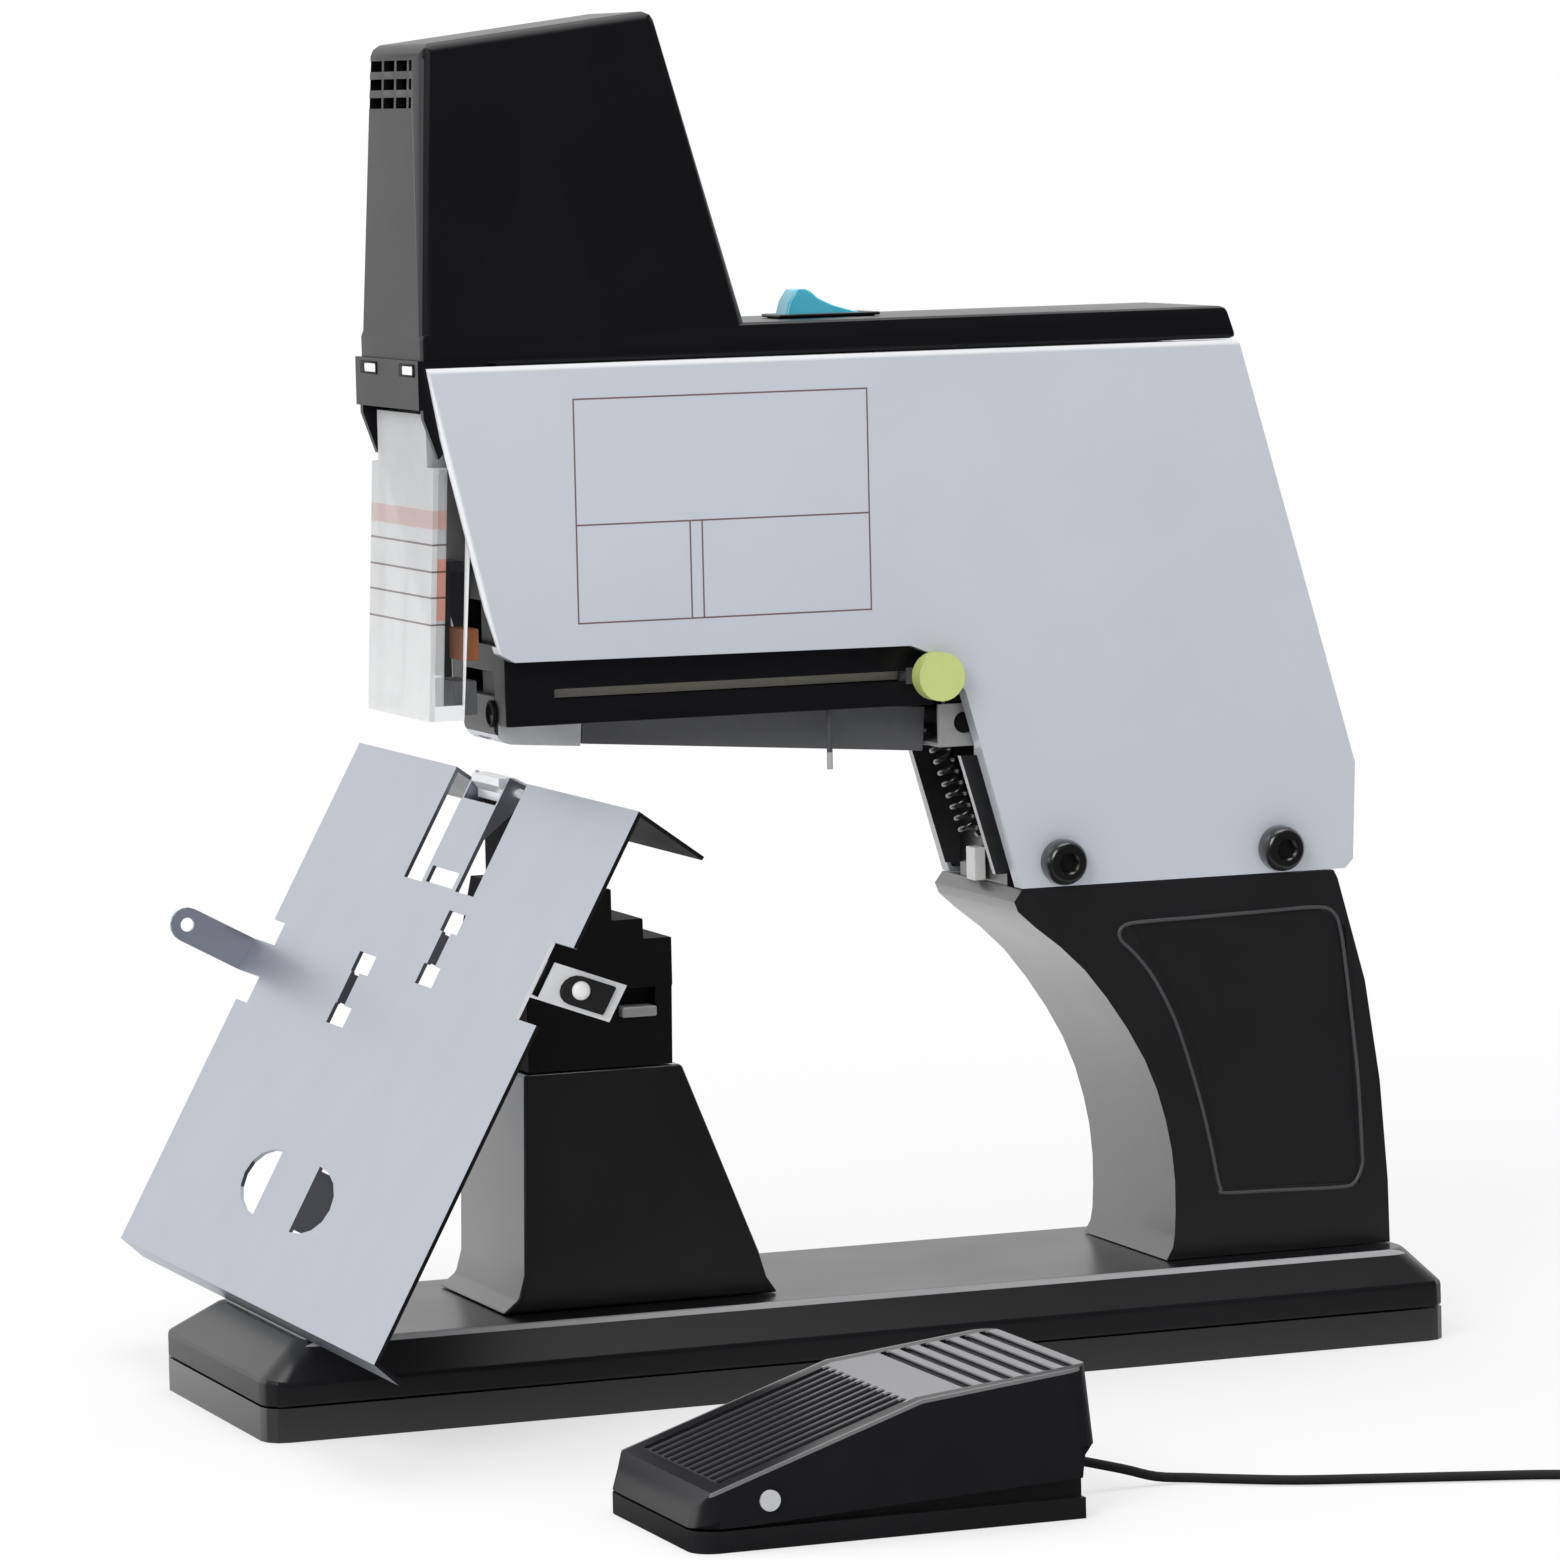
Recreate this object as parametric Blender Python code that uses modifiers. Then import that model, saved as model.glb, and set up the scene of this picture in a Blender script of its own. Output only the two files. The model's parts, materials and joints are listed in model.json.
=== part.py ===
"""An electric stapler with a folding work table, a clear guard and a foot pedal.

The origin is at the middle of the base's underside, on the surface that it stands on.
+X is the side with the margin knob, +Y is the rear, +Z is up. Lengths are in metres.
"""

import math

import bmesh
import bpy
import numpy as np
from mathutils import Matrix, Vector

# Fits shared by the whole machine
CLEARANCE = 0.0003
RUNNING_GAP = 0.0005
OVERRUN = 0.002
TUCK = 0.0001  # how far a joined tab's faces sit inside the sheet's own
SCREW_MERGE = 0.00005

# Base: a cast body on a lower pan, with four rubber pads set flush in its underside
BASE_LENGTH = 0.390
BASE_WIDTH = 0.112
BASE_CORNER = 0.007
FOOT_THICKNESS = 0.003
FOOT_RADIUS = 0.008
FOOT_INSET = 0.018
PAN_HEIGHT = 0.0103
CASTING_BAND = 0.0082
CASTING_SLOPE = 0.0096
SIDE_SLOPE_INSET = 0.010
FRONT_SLOPE_INSET = 0.014
REAR_SLOPE_INSET = 0.008
CASTING_BOTTOM = PAN_HEIGHT + CLEARANCE
CASTING_SHOULDER = CASTING_BOTTOM + CASTING_BAND
BASE_TOP = CASTING_SHOULDER + CASTING_SLOPE
ON_BASE = BASE_TOP + CLEARANCE

# Rear column, with the neck that the head's frame plates are bolted to
COLUMN_WIDTH = 0.066
COLUMN_FRONT = 0.0598
COLUMN_LENGTH = 0.1259
COLUMN_HEIGHT = 0.1202
THROAT_SHARES = (
    (0.383, 0), (0.407, 0.066), (0.403, 0.29), (0.334, 0.533), (0.176, 0.78), (0, 0.943), (0.012, 1),
)
BACK_SHARES = ((0.86, 1), (0.871, 0.977), (0.942, 0.702), (0.979, 0.433), (0.997, 0.165), (1, 0))
THROAT_STEPS = 3
PANEL_SHARES = (
    (0.532, 0.175), (0.919, 0.166), (0.889, 0.851), (0.82, 0.901), (0.3, 0.89),
    (0.387, 0.76), (0.474, 0.535), (0.522, 0.302),
)
PANEL_RECESS = 0.0008
NECK_WIDTH = 0.0388
NECK_Y = (0.062, 0.157)
NECK_HEIGHT = 0.0231
COLUMN_TOP = ON_BASE + COLUMN_HEIGHT
HEAD_BOTTOM = COLUMN_TOP + CLEARANCE

# Front pillar, and the stepped block with its latch on top of it
PILLAR_WIDTH = 0.063
PILLAR_FRONT = -0.112
PILLAR_LENGTH = 0.090
PILLAR_BELOW_COLUMN = 0.047
PILLAR_SHARES = (
    (0, 0), (1, 0), (0.96, 0.07), (0.933, 0.18), (0.667, 1), (0.1, 1), (0.083, 0.154), (0.061, 0.059),
)
BLOCK_WIDTH = 0.062
BLOCK_FRONT = -0.1015
BLOCK_LENGTH = 0.0472
BLOCK_HEIGHT = 0.0548
BLOCK_SHARES = (
    (0, 0), (0.987, 0), (0.995, 0.434), (1, 0.45), (1, 0.712), (0.807, 0.712), (0.807, 0.825),
    (0.594, 0.825), (0.594, 1), (0.074, 1), (0, 0.69),
)
LATCH_Y = (-0.0717, -0.0604)
LATCH_RISE = 0.0153
LATCH_THICKNESS = 0.0032
LATCH_TRAVEL = 0.005
LATCH_DEPTH = 0.0055
LATCH_REACH = 0.0025
PILLAR_HEIGHT = COLUMN_HEIGHT - PILLAR_BELOW_COLUMN
BLOCK_BOTTOM = ON_BASE + PILLAR_HEIGHT + CLEARANCE
BLOCK_TOP = BLOCK_BOTTOM + BLOCK_HEIGHT
LATCH_BOTTOM = BLOCK_BOTTOM + LATCH_RISE

# Anvil post, anvil and the pin that the table turns on
ANVIL_WIDTH = 0.026
ANVIL_FRONT = -0.1027
ANVIL_LENGTH = 0.0107
ANVIL_HEIGHT = 0.0077
ANVIL_SHARES = (
    (0, 1), (0, 0.69), (0.178, 0.35), (0.178, 0), (1, 0), (1, 0.61), (0.477, 1),
)
POST_HEIGHT = 0.026
POST_Y = (-0.099, -0.086)
PIN_RADIUS = 0.0015
PIN_BEHIND_FRONT = 0.0052
PIN_BELOW_TOP = 0.0045
PIN_END = 0.002
POST_TOP = BLOCK_TOP + POST_HEIGHT
ANVIL_BOTTOM = POST_TOP + CLEARANCE
TABLE_PIVOT = (ANVIL_FRONT + PIN_BEHIND_FRONT, ANVIL_BOTTOM + ANVIL_HEIGHT - PIN_BELOW_TOP)

# Work table: one bent stainless sheet; "along" runs down its face from the ridge
TABLE_WIDTH = 0.268
SHEET = 0.0012
TABLE_SLOPE = math.radians(61.3)
FLANGE_SLOPE = math.radians(36.1)
LIP_SLOPE = math.radians(42.5)
FLANGE_LENGTH = 0.0246
LIP_LENGTH = 0.0099
PIN_ALONG = 0.0025
PIN_BEHIND = 0.0048
TONGUE_WIDTH = 0.033
TONGUE_START = 0.009
TONGUE_END = 0.038
TONGUE_GAP_WIDTH = 0.068
TONGUE_WALL_START = -0.0005
TONGUE_WALL_DEPTH = 0.0075
TONGUE_WALL_LENGTH = 0.020
TONGUE_WALL_SHOULDER = 0.005
TONGUE_WINDOW_X = (-0.013, 0.013)
TONGUE_WINDOW_ALONG = (0.032, 0.0375)
RIGHT_WINDOW_X = (0.0195, 0.0355)
RIGHT_WINDOW_ALONG = (0.044, 0.0685)
RIGHT_WAIST_X = (0.022, 0.030)
LEFT_WINDOW_X = (-0.041, -0.024)
LEFT_WINDOW_ALONG = (0.0645, 0.089)
LEFT_WAIST_X = (-0.040, -0.032)
WAIST_LENGTH = 0.011
WINDOW_TAB_DEPTH = 0.009
WINDOW_TAB_MARGIN = 0.0006
CRESCENT_ALONG = (0.131, 0.153)
RIGHT_CRESCENT_X = (0.014, 0.0397)
LEFT_CRESCENT_X = (-0.024, -0.049)
CRESCENT_TAB_DEPTH = 0.010
CRESCENT_STEPS = 8
LEFT_NOTCH_DEPTH = 0.012
LEFT_NOTCH_ALONG = (0.0635, 0.092)
RIGHT_NOTCH_DEPTH = 0.019
RIGHT_NOTCH_ALONG = (0.044, 0.069)
ARM_ALONG = (0.0715, 0.0827)
ARM_REACH = 0.013
ARM_LENGTH = 0.022
ARM_HOLE_RADIUS = 0.0023
EAR_ALONG = (0.0497, 0.0617)
EAR_LEAN = 0.004
EAR_DEPTH = 0.027
EAR_HOLE_MARGIN = 0.0014
EAR_HOLE_DEPTH = (0.0085, 0.0243)
EAR_PAD_THICKNESS = 0.0035

# Side covers: two pressed trays, and the four domed screws through them
COVER_SHEET = 0.0015
COVER_LIP = 0.006
COVER_FRONT = -0.1285
COVER_LENGTH = 0.3046
COVER_HEIGHT = 0.1683
COVER_SHARES = (
    (0, 1), (0.013, 0.872), (0.0535, 0.565), (0.068, 0.483), (0.083, 0.467), (0.507, 0.461),
    (0.53, 0.444), (0.565, 0.374), (0.623, 0), (0.9865, 0), (0.996, 0.017), (1, 0.199),
    (0.877, 0.993), (0.8715, 1),
)
COVER_FRONT_EDGES = 3
COVER_NOTCH_LENGTH = 0.024
COVER_NOTCH_HEIGHT = 0.030
CAP_Y = (0.0749, 0.1492)
CAP_RISE = 0.0078
CAP_RADIUS = 0.0072
CAP_HEIGHT = 0.006
CAP_STEM_RADIUS = 0.003
CAP_STEM_LENGTH = 0.023
CAP_SOCKET_RADIUS = 0.0026
CAP_SOCKET_DEPTH = 0.004
CAP_DOME_SHARES = ((1, 0), (1, 0.3), (0.86, 0.7), (0.6, 0.93), (0.4, 1))
HEAD_TOP = HEAD_BOTTOM + COVER_HEIGHT
TOP_COVER_BOTTOM = HEAD_TOP + CLEARANCE
CAP_Z = HEAD_BOTTOM + CAP_RISE
HALF_HEAD = COLUMN_WIDTH / 2

# Top cover: a low lid with a tapered tower, open underneath
LID_WALL = 0.002
LID_WIDTH = 0.062
LID_FRONT = -0.1293
LID_LENGTH = 0.2685
LID_HEIGHT = 0.0102
LID_REAR_SLOPE = 0.0035
LID_EDGE = 0.002
TOWER_LENGTH = 0.106
TOWER_HEIGHT = 0.0955
TOWER_TOP_WIDTH = 0.0535
TOWER_FRONT_SLOPE = 0.004
TOWER_REAR_SLOPE = 0.028
TOWER_TOP_RISE = 0.009
TOWER_ROOT = 0.006
TOWER_EDGE = 0.003
VENT_HEIGHT = 0.0033
VENT_PITCH = 0.0056
VENT_ROWS = 3
VENT_TOP_DROP = 0.0045
VENT_X = ((-0.026, -0.0123), (-0.0103, 0.0001), (0.0021, 0.0125), (0.0145, 0.017))
BEZEL_HEIGHT = 0.0128
BEZEL_THICKNESS = 0.002
CHEEK_THICKNESS = 0.0025
CHEEK_DROP = 0.0278
CHEEK_LENGTH = 0.0215
CHEEK_FRONT = -0.1298
CHEEK_SHARES = ((0, 1), (0.014, 0.42), (0.22, 0), (0.66, 0.33), (1, 1))
LID_TOP = TOP_COVER_BOTTOM + LID_HEIGHT
TOWER_TOP = LID_TOP + TOWER_HEIGHT - TOWER_TOP_RISE

# Rear cover and the two sockets in it
REAR_SHEET = 0.0015
REAR_Y = (0.174, 0.1378)
REAR_BEND_RISE = 0.0333
INLET_X = (-0.022, 0.004)
INLET_RISE = (0.008, 0.028)
INLET_DEPTH = 0.012
INLET_FLANGE = 0.0015
INLET_WALL = 0.0018
JACK_X = 0.014
JACK_RISE = 0.018
JACK_RADIUS = 0.0055
JACK_FLANGE_RADIUS = 0.0075
JACK_BORE = 0.0018
JACK_DEPTH = 0.012

# Frame plates of the head, bolted to the neck
PLATE_THICKNESS = 0.0025
PLATE_ARM_Y = -0.104
PLATE_FRONT = -0.1125
PLATE_CHIN_RISE = 0.113
PLATE_TOP_RISE = 0.241
PLATE_MOTOR_REAR = -0.066
PLATE_STEP_RISE = 0.201
PLATE_DECK_Y = (-0.030, 0.128)
PLATE_DECK_RISE = 0.163
PLATE_REAR = 0.160
PLATE_REAR_RISE = 0.041
PLATE_FOOT_RISE = 0.0038
PLATE_FOOT_Y = 0.068
PLATE_EDGE_Y = (0.057, 0.046)
PLATE_EDGE_RISE = 0.0415
LUG_RADIUS = 0.0055
LUG_NOTCH_Y = 0.0515
PLATE_INNER = NECK_WIDTH / 2 + CLEARANCE
PLATE_OUTER = PLATE_INNER + PLATE_THICKNESS

# Drive: motor, pinion, gear, crankshaft and the ram with its driver blade
CRANK_Y = -0.092
CRANK_RISE = 0.1808
SHAFT_RADIUS = 0.005
SHAFT_FIT = 0.0003
WEB_RADIUS = 0.011
WEB_X = (0.005, 0.0085)
CRANK_THROW = 0.006
CRANK_PIN_RADIUS = 0.004
GEAR_MODULE = 0.00125
GEAR_TEETH = 46
PINION_TEETH = 12
GEAR_FACE = 0.003
GEAR_SIDE_GAP = 0.0007
PRESSURE_ANGLE = math.radians(20)
ADDENDUM_SHARE = 0.65
DEDENDUM_SHARE = 1
BACKLASH = 0.00025
CENTRE_ALLOWANCE = 0.0004
MOTOR_RADIUS = 0.018
MOTOR_LENGTH = 0.0363
MOTOR_SHAFT_RADIUS = 0.0022
MOTOR_BORE_DEPTH = 0.012
YOKE_THICKNESS = 0.009
YOKE_Y = (-0.1065, -0.0775)
YOKE_SLOT_Y = (-0.1025, -0.0815)
YOKE_SLOT_HEIGHT = 0.0106
YOKE_RAIL = 0.004
STEM_Y = (-0.103, -0.097)
STEM_WIDTH = 0.018
STEM_TOP_DROP = 0.015
STEM_LENGTH = 0.070
BLADE_WIDTH = 0.012
BLADE_THICKNESS = 0.001
BLADE_LENGTH = 0.036
CRANK_Z = HEAD_BOTTOM + CRANK_RISE
GEAR_RADIUS = GEAR_MODULE * GEAR_TEETH / 2
PINION_RADIUS = GEAR_MODULE * PINION_TEETH / 2
MOTOR_Z = CRANK_Z + GEAR_RADIUS + PINION_RADIUS + CENTRE_ALLOWANCE
GEAR_X = (PLATE_OUTER + GEAR_SIDE_GAP, PLATE_OUTER + GEAR_SIDE_GAP + GEAR_FACE)
CRANK_PIN_Z = CRANK_Z + CRANK_THROW
STEM_TOP = CRANK_Z - STEM_TOP_DROP
STEM_BOTTOM = STEM_TOP - STEM_LENGTH

# Parts at the front of the head, behind the guard
BRACKET_THICKNESS = 0.002
BRACKET_RISE = (0.1058, 0.1858)
BRACKET_FOOT_HEIGHT = 0.003
BRACKET_BAR_WIDTH = 0.013
BRACKET_BAR_FRONT = -0.119
BRACKET_BAR_THICKNESS = 0.0025
BRACKET_BAR_DROP = 0.0322
BRONZE_WIDTH = 0.0137
BRONZE_Y = (-0.1175, -0.1123)
BRONZE_RISE = (0.0794, 0.0891)
BLOCK_X = (0.007, 0.026)
HEAD_BLOCK_Y = (-0.1205, -0.113)
HEAD_BLOCK_HEIGHT = 0.0105

# Guard: a clear channel with a frosted box above it, hung on a pin
GUARD_WALL = 0.0015
GUARD_WIDTH = 0.0606
GUARD_FRONT = -0.130
GUARD_DEPTH = 0.016
GUARD_RISE = 0.0618
GUARD_HEIGHT = 0.0765
GUARD_SHARES = ((0, 0), (0.7, 0), (1, 1), (0.219, 1))
GUARD_FRONT_SHARE = 0.219
GUARD_BOX_WIDTH = 0.048
GUARD_BOX_HEIGHT = 0.0159
GUARD_BOX_DEPTH = 0.0083
GUARD_PIVOT_Y = -0.122
GUARD_PIVOT_RISE = 0.1458
GUARD_PIN_RADIUS = 0.001
GUARD_PIN_LENGTH = 0.0618
GUARD_BOTTOM = HEAD_BOTTOM + GUARD_RISE
GUARD_TOP = GUARD_BOTTOM + GUARD_HEIGHT
GUARD_PIVOT = (GUARD_PIVOT_Y, HEAD_BOTTOM + GUARD_PIVOT_RISE)

# Lower arm: a fixed black cover round the magazine, with the margin gauge in it
ARM_COVER_WIDTH = 0.052
ARM_COVER_WALL = 0.0015
ARM_COVER_Y = (-0.104, 0.036)
ARM_COVER_RISE = 0.0584
ARM_COVER_HEIGHT = 0.0244
ARM_COVER_HOLE_X = (-0.013, 0.013)
ARM_COVER_HOLE_LENGTH = 0.010
ARM_COVER_MOUTH_HEIGHT = 0.016
GROOVE_RISE = 0.0079
GROOVE_HEIGHT = 0.003
GROOVE_FRONT = -0.0882
RAIL_WIDTH = 0.003
RAIL_END = 0.037
SLIDER_WIDTH = 0.0034
SLIDER_Y = (0.026, 0.040)
SLIDER_HEIGHT = 0.012
SLIDER_DROP = 0.0045
STRIP_LENGTH = 0.026
STRIP_THICKNESS = 0.0015
STRIP_HEIGHT = 0.004
STOP_RADIUS = 0.0009
STOP_INSET = 0.0026
STOP_DROP = 0.019
TAB_Y = (0.0265, 0.0295)
TAB_THICKNESS = 0.001
TAB_HEIGHT = 0.005
KNOB_Y = 0.0335
KNOB_RADIUS = 0.0076
KNOB_THICKNESS = 0.0065
KNOB_HUB_RADIUS = 0.0035
KNOB_HUB_LENGTH = 0.007
KNOB_STEM_RADIUS = 0.001
ARM_COVER_BOTTOM = HEAD_BOTTOM + ARM_COVER_RISE
ARM_COVER_TOP = ARM_COVER_BOTTOM + ARM_COVER_HEIGHT
ARM_COVER_SIDE = ARM_COVER_WIDTH / 2
ARM_COVER_INSIDE = ARM_COVER_SIDE - ARM_COVER_WALL
GROOVE_Z = (ARM_COVER_BOTTOM + GROOVE_RISE, ARM_COVER_BOTTOM + GROOVE_RISE + GROOVE_HEIGHT)
SLIDER_OUTER = ARM_COVER_INSIDE - CLEARANCE
SLIDER_INNER = SLIDER_OUTER - SLIDER_WIDTH
KNOB_Z = GROOVE_Z[1] - KNOB_STEM_RADIUS - CLEARANCE

# Magazine: swings on the pivot pin, nose up at rest; lengths from the pivot, level
PIVOT_Y = 0.0465
PIVOT_RISE = 0.0522
PIVOT_RADIUS = 0.003
PIVOT_FIT = 0.0003
PIVOT_END = 0.001
MAGAZINE_TILT = math.radians(4.12)
MAGAZINE_WIDTH = 0.029
MAGAZINE_WALL = 0.002
MAGAZINE_FLOOR = 0.0098
MAGAZINE_HEIGHT = 0.0138
MAGAZINE_START = -0.0093
MAGAZINE_LENGTH = 0.1129
NOSE_LENGTH = 0.0284
NOSE_FLOOR = 0.0105
NOSE_CHIN = 0.006
NOSE_CHIN_STEPS = 4
NOSE_SLOT_WIDTH = 0.0136
NOSE_SLOT_LENGTH = 0.004
NOSE_SLOT_FROM_PIVOT = 0.1467
PUSHER_LENGTH = 0.012
PUSHER_FROM_PIVOT = 0.0245
PUSHER_HEIGHT = 0.0095
HINGE_CHEEK_X = (0.0228, 0.0243)
HINGE_CHEEK_FRONT = -0.0085
HINGE_CHEEK_LENGTH = 0.012
HINGE_CHEEK_TOP = 0.006
HINGE_CHEEK_BOTTOM = -0.0074
HINGE_FLANGE = 0.0012
SPRING_TOP = (0.0478, 0.0444)
SPRING_BOTTOM = (0.0588, 0.0137)
SPRING_RADIUS = 0.0031
SPRING_WIRE = 0.0007
SPRING_CURLS = 8
SPRING_POINTS = 9
SEAT_WIDTH = 0.007
SEAT_Y = (0.0575, 0.0614)
SEAT_HEIGHT = 0.0105
PIVOT = (PIVOT_Y, HEAD_BOTTOM + PIVOT_RISE)

# Rocker switch in the lid, and the control board inside
SWITCH_WIDTH = 0.0124
SWITCH_Y = (-0.0044, 0.0268)
SWITCH_DEPTH = 0.022
SWITCH_WALL = 0.0008
SWITCH_FLOOR = 0.0015
SWITCH_FLANGE = 0.001
SWITCH_FLANGE_MARGIN = 0.0012
SWITCH_FLANGE_WIDTH = 0.016
ROCKER_WIDTH = 0.0102
ROCKER_FRONT = -0.0024
ROCKER_LENGTH = 0.0269
ROCKER_HEIGHT = 0.016
ROCKER_SINK = 0.007
ROCKER_SHARES = (
    (0.108, 0), (0.888, 0), (1, 0.44), (0.965, 0.5), (0.83, 0.55), (0.6, 0.66), (0.42, 0.8),
    (0.33, 0.93), (0.257, 1), (0.145, 0.99), (0.05, 0.75), (0, 0.44),
)
ROCKER_PIVOT_Y = 0.011
ROCKER_PIVOT_DROP = 0.002
BOARD_THICKNESS = 0.0016
BOARD_Y = (0.020, 0.100)
BOARD_RISE = (0.101, 0.151)
BOARD_STUD_RADIUS = 0.0025
BOARD_STUD_LENGTH = 0.006
BOARD_STUD_INSET = 0.005
ROCKER_BOTTOM = LID_TOP - ROCKER_SINK
ROCKER_PIVOT = (ROCKER_PIVOT_Y, LID_TOP - ROCKER_PIVOT_DROP)

# Foot pedal, standing beside the machine
PEDAL_X = (0.199, 0.273)
PEDAL_Y = (-0.1387, -0.0178)
PEDAL_BASE_HEIGHT = 0.006
PEDAL_BASE_REAR = -0.0227
PEDAL_RIM_HEIGHT = 0.011
PEDAL_WALL = 0.002
PEDAL_RIM_GAP = 0.0012
TREADLE_HEIGHT = 0.0362
TREADLE_RISE = 0.0068
TREADLE_SHARES = (
    (0, 0), (0.113, 0), (0.953, 0.13), (0.96, 0.31), (1, 0.373), (0.98, 1),
    (0.558, 0.848), (0.042, 0.276), (0.015, 0.171),
)
TREADLE_INSIDE_SHARES = (
    (0.018, -0.25), (0.975, -0.25), (0.975, 0.42), (0.962, 0.935),
    (0.562, 0.79), (0.055, 0.23), (0.033, 0.1),
)
RIVET_Y = -0.117
RIVET_Z = 0.0136
RIVET_RADIUS = 0.0015
RIVET_HEAD_RADIUS = 0.003
RIVET_HEAD = 0.0008
PEDAL_SPRING_Y = -0.060
PEDAL_SPRING_RADIUS = 0.005
PEDAL_SPRING_HEIGHT = 0.027
FOOT_SWITCH_X = (0.226, 0.246)
FOOT_SWITCH_Y = (-0.045, -0.033)
FOOT_SWITCH_HEIGHT = 0.016
PLUNGER_RADIUS = 0.002
PLUNGER_HEIGHT = 0.011
ON_PEDAL_BASE = PEDAL_BASE_HEIGHT + CLEARANCE

# Pedal cord: grommet, free stretch on the floor, coil and plug
CORD_RADIUS = 0.0014
CORD_STEP = 0.0068
GROMMET_RADIUS = 0.0032
GROMMET_LENGTH = 0.006
GROMMET_Z = 0.010
CORD_X = 0.236
CORD_ROUTE = (
    (0.2362, 0.0040, 0.0055), (0.2366, 0.0145, 0.0024), (0.2390, 0.0250, 0.0015),
    (0.2460, 0.0345, 0.0015), (0.2560, 0.0500, 0.0015),
    (0.2650, 0.0730, 0.0015), (0.2740, 0.0970, 0.0015), (0.2830, 0.1190, 0.0015),
    (0.2945, 0.1330, 0.0015), (0.3080, 0.1345, 0.0015),
)
COIL_CENTRE = (0.314, 0.176)
COIL_INNER_RADIUS = 0.0305
COIL_PITCH = 0.0034
COIL_LAYER = 0.0034
COIL_LOOPS = 3
COIL_POINTS = 24
COIL_LAYERS = 2
COIL_TAIL = 0.026
PLUG_RADIUS = 0.0042
PLUG_LENGTH = 0.020
PLUG_TIP_RADIUS = 0.00175
PLUG_TIP_LENGTH = 0.014
CORD_REST = 0.0001

# Paints: colour, metallic, roughness
SATIN_BLACK = ((0.022, 0.022, 0.024), 0.0, 0.42)
CAST_BLACK = ((0.028, 0.028, 0.031), 0.0, 0.5)
GREY_PANEL = ((0.52, 0.56, 0.62), 0.0, 0.45)
STAINLESS = ((0.62, 0.64, 0.68), 1.0, 0.32)
BRIGHT_STEEL = ((0.72, 0.73, 0.75), 1.0, 0.2)
ZINC = ((0.60, 0.61, 0.62), 1.0, 0.38)
DARK_STEEL = ((0.10, 0.10, 0.09), 0.8, 0.4)
COPPER_BROWN = ((0.38, 0.13, 0.05), 0.7, 0.4)
RUBBER = ((0.015, 0.015, 0.015), 0.0, 0.8)
KNOB_GREEN = ((0.56, 0.67, 0.20), 0.0, 0.5)
ROCKER_CYAN = ((0.04, 0.37, 0.55), 0.0, 0.25)
CLEAR_PLASTIC = ((0.75, 0.78, 0.82), 0.0, 0.15)
WHITE_PLASTIC = ((0.75, 0.75, 0.73), 0.0, 0.5)
BOARD_GREEN = ((0.02, 0.16, 0.07), 0.0, 0.5)

# Facets round a full turn
ROUND_SIDES = 24
SMALL_SIDES = 16
SMOOTH_ANGLE = math.radians(35)

PARTS = bpy.data.collections.new("electric_stapler")
CUTTERS = bpy.data.collections.new("cutters")


# Helpers

def clear_scene():
    for old in list(bpy.data.objects):
        bpy.data.objects.remove(old, do_unlink=True)
    for collection in (PARTS, CUTTERS):
        bpy.context.scene.collection.children.link(collection)


def add(name, mesh, placement=None):
    """A new object of this mesh among the parts."""
    thing = bpy.data.objects.new(name, mesh)
    thing.matrix_world = placement or Matrix.Identity(4)
    PARTS.objects.link(thing)
    return thing


def mesh_of(name, shape):
    mesh = bpy.data.meshes.new(name)
    bmesh.ops.recalc_face_normals(shape, faces=shape.faces)
    shape.to_mesh(mesh)
    shape.free()
    return mesh


def box(name, x, y, z):
    """A box between three pairs of limits."""
    shape = bmesh.new()
    bmesh.ops.create_cube(shape, size=1)
    low, high = (Vector(corner) for corner in zip(x, y, z))
    size = high - low
    for vertex in shape.verts:
        vertex.co = (low + high) / 2 + Vector(a * b for a, b in zip(vertex.co, size))
    return add(name, mesh_of(name, shape))


def stacked_box(name, levels, corner, segments=3):
    """A box whose plan changes upwards, with round upright edges. A level is its z and its x and y limits."""
    shape = bmesh.new()
    bmesh.ops.create_cube(shape, size=2)
    placed = set()
    for index, (z, x, y) in enumerate(levels):
        if index > 1:
            top = max(shape.faces, key=lambda face: face.calc_center_median().z)
            grown = bmesh.ops.extrude_face_region(shape, geom=[top])
            fresh = [item for item in grown["geom"] if isinstance(item, bmesh.types.BMVert)]
            if top.is_valid:
                shape.faces.remove(top)
        else:
            unplaced = set(shape.verts) - placed
            fresh = [vertex for vertex in unplaced if (vertex.co.z > 0) == bool(index)]
        middle = (sum(x) / 2, sum(y) / 2)
        for vertex in fresh:
            vertex.co = (x[vertex.co.x > middle[0]], y[vertex.co.y > middle[1]], z)
            placed.add(vertex)
    upright = [edge for edge in shape.edges if edge.verts[0].co.z != edge.verts[1].co.z]
    if corner:
        bmesh.ops.bevel(shape, geom=upright, offset=corner, segments=segments, profile=0.5, affect="EDGES")
    return add(name, mesh_of(name, shape))


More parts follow.
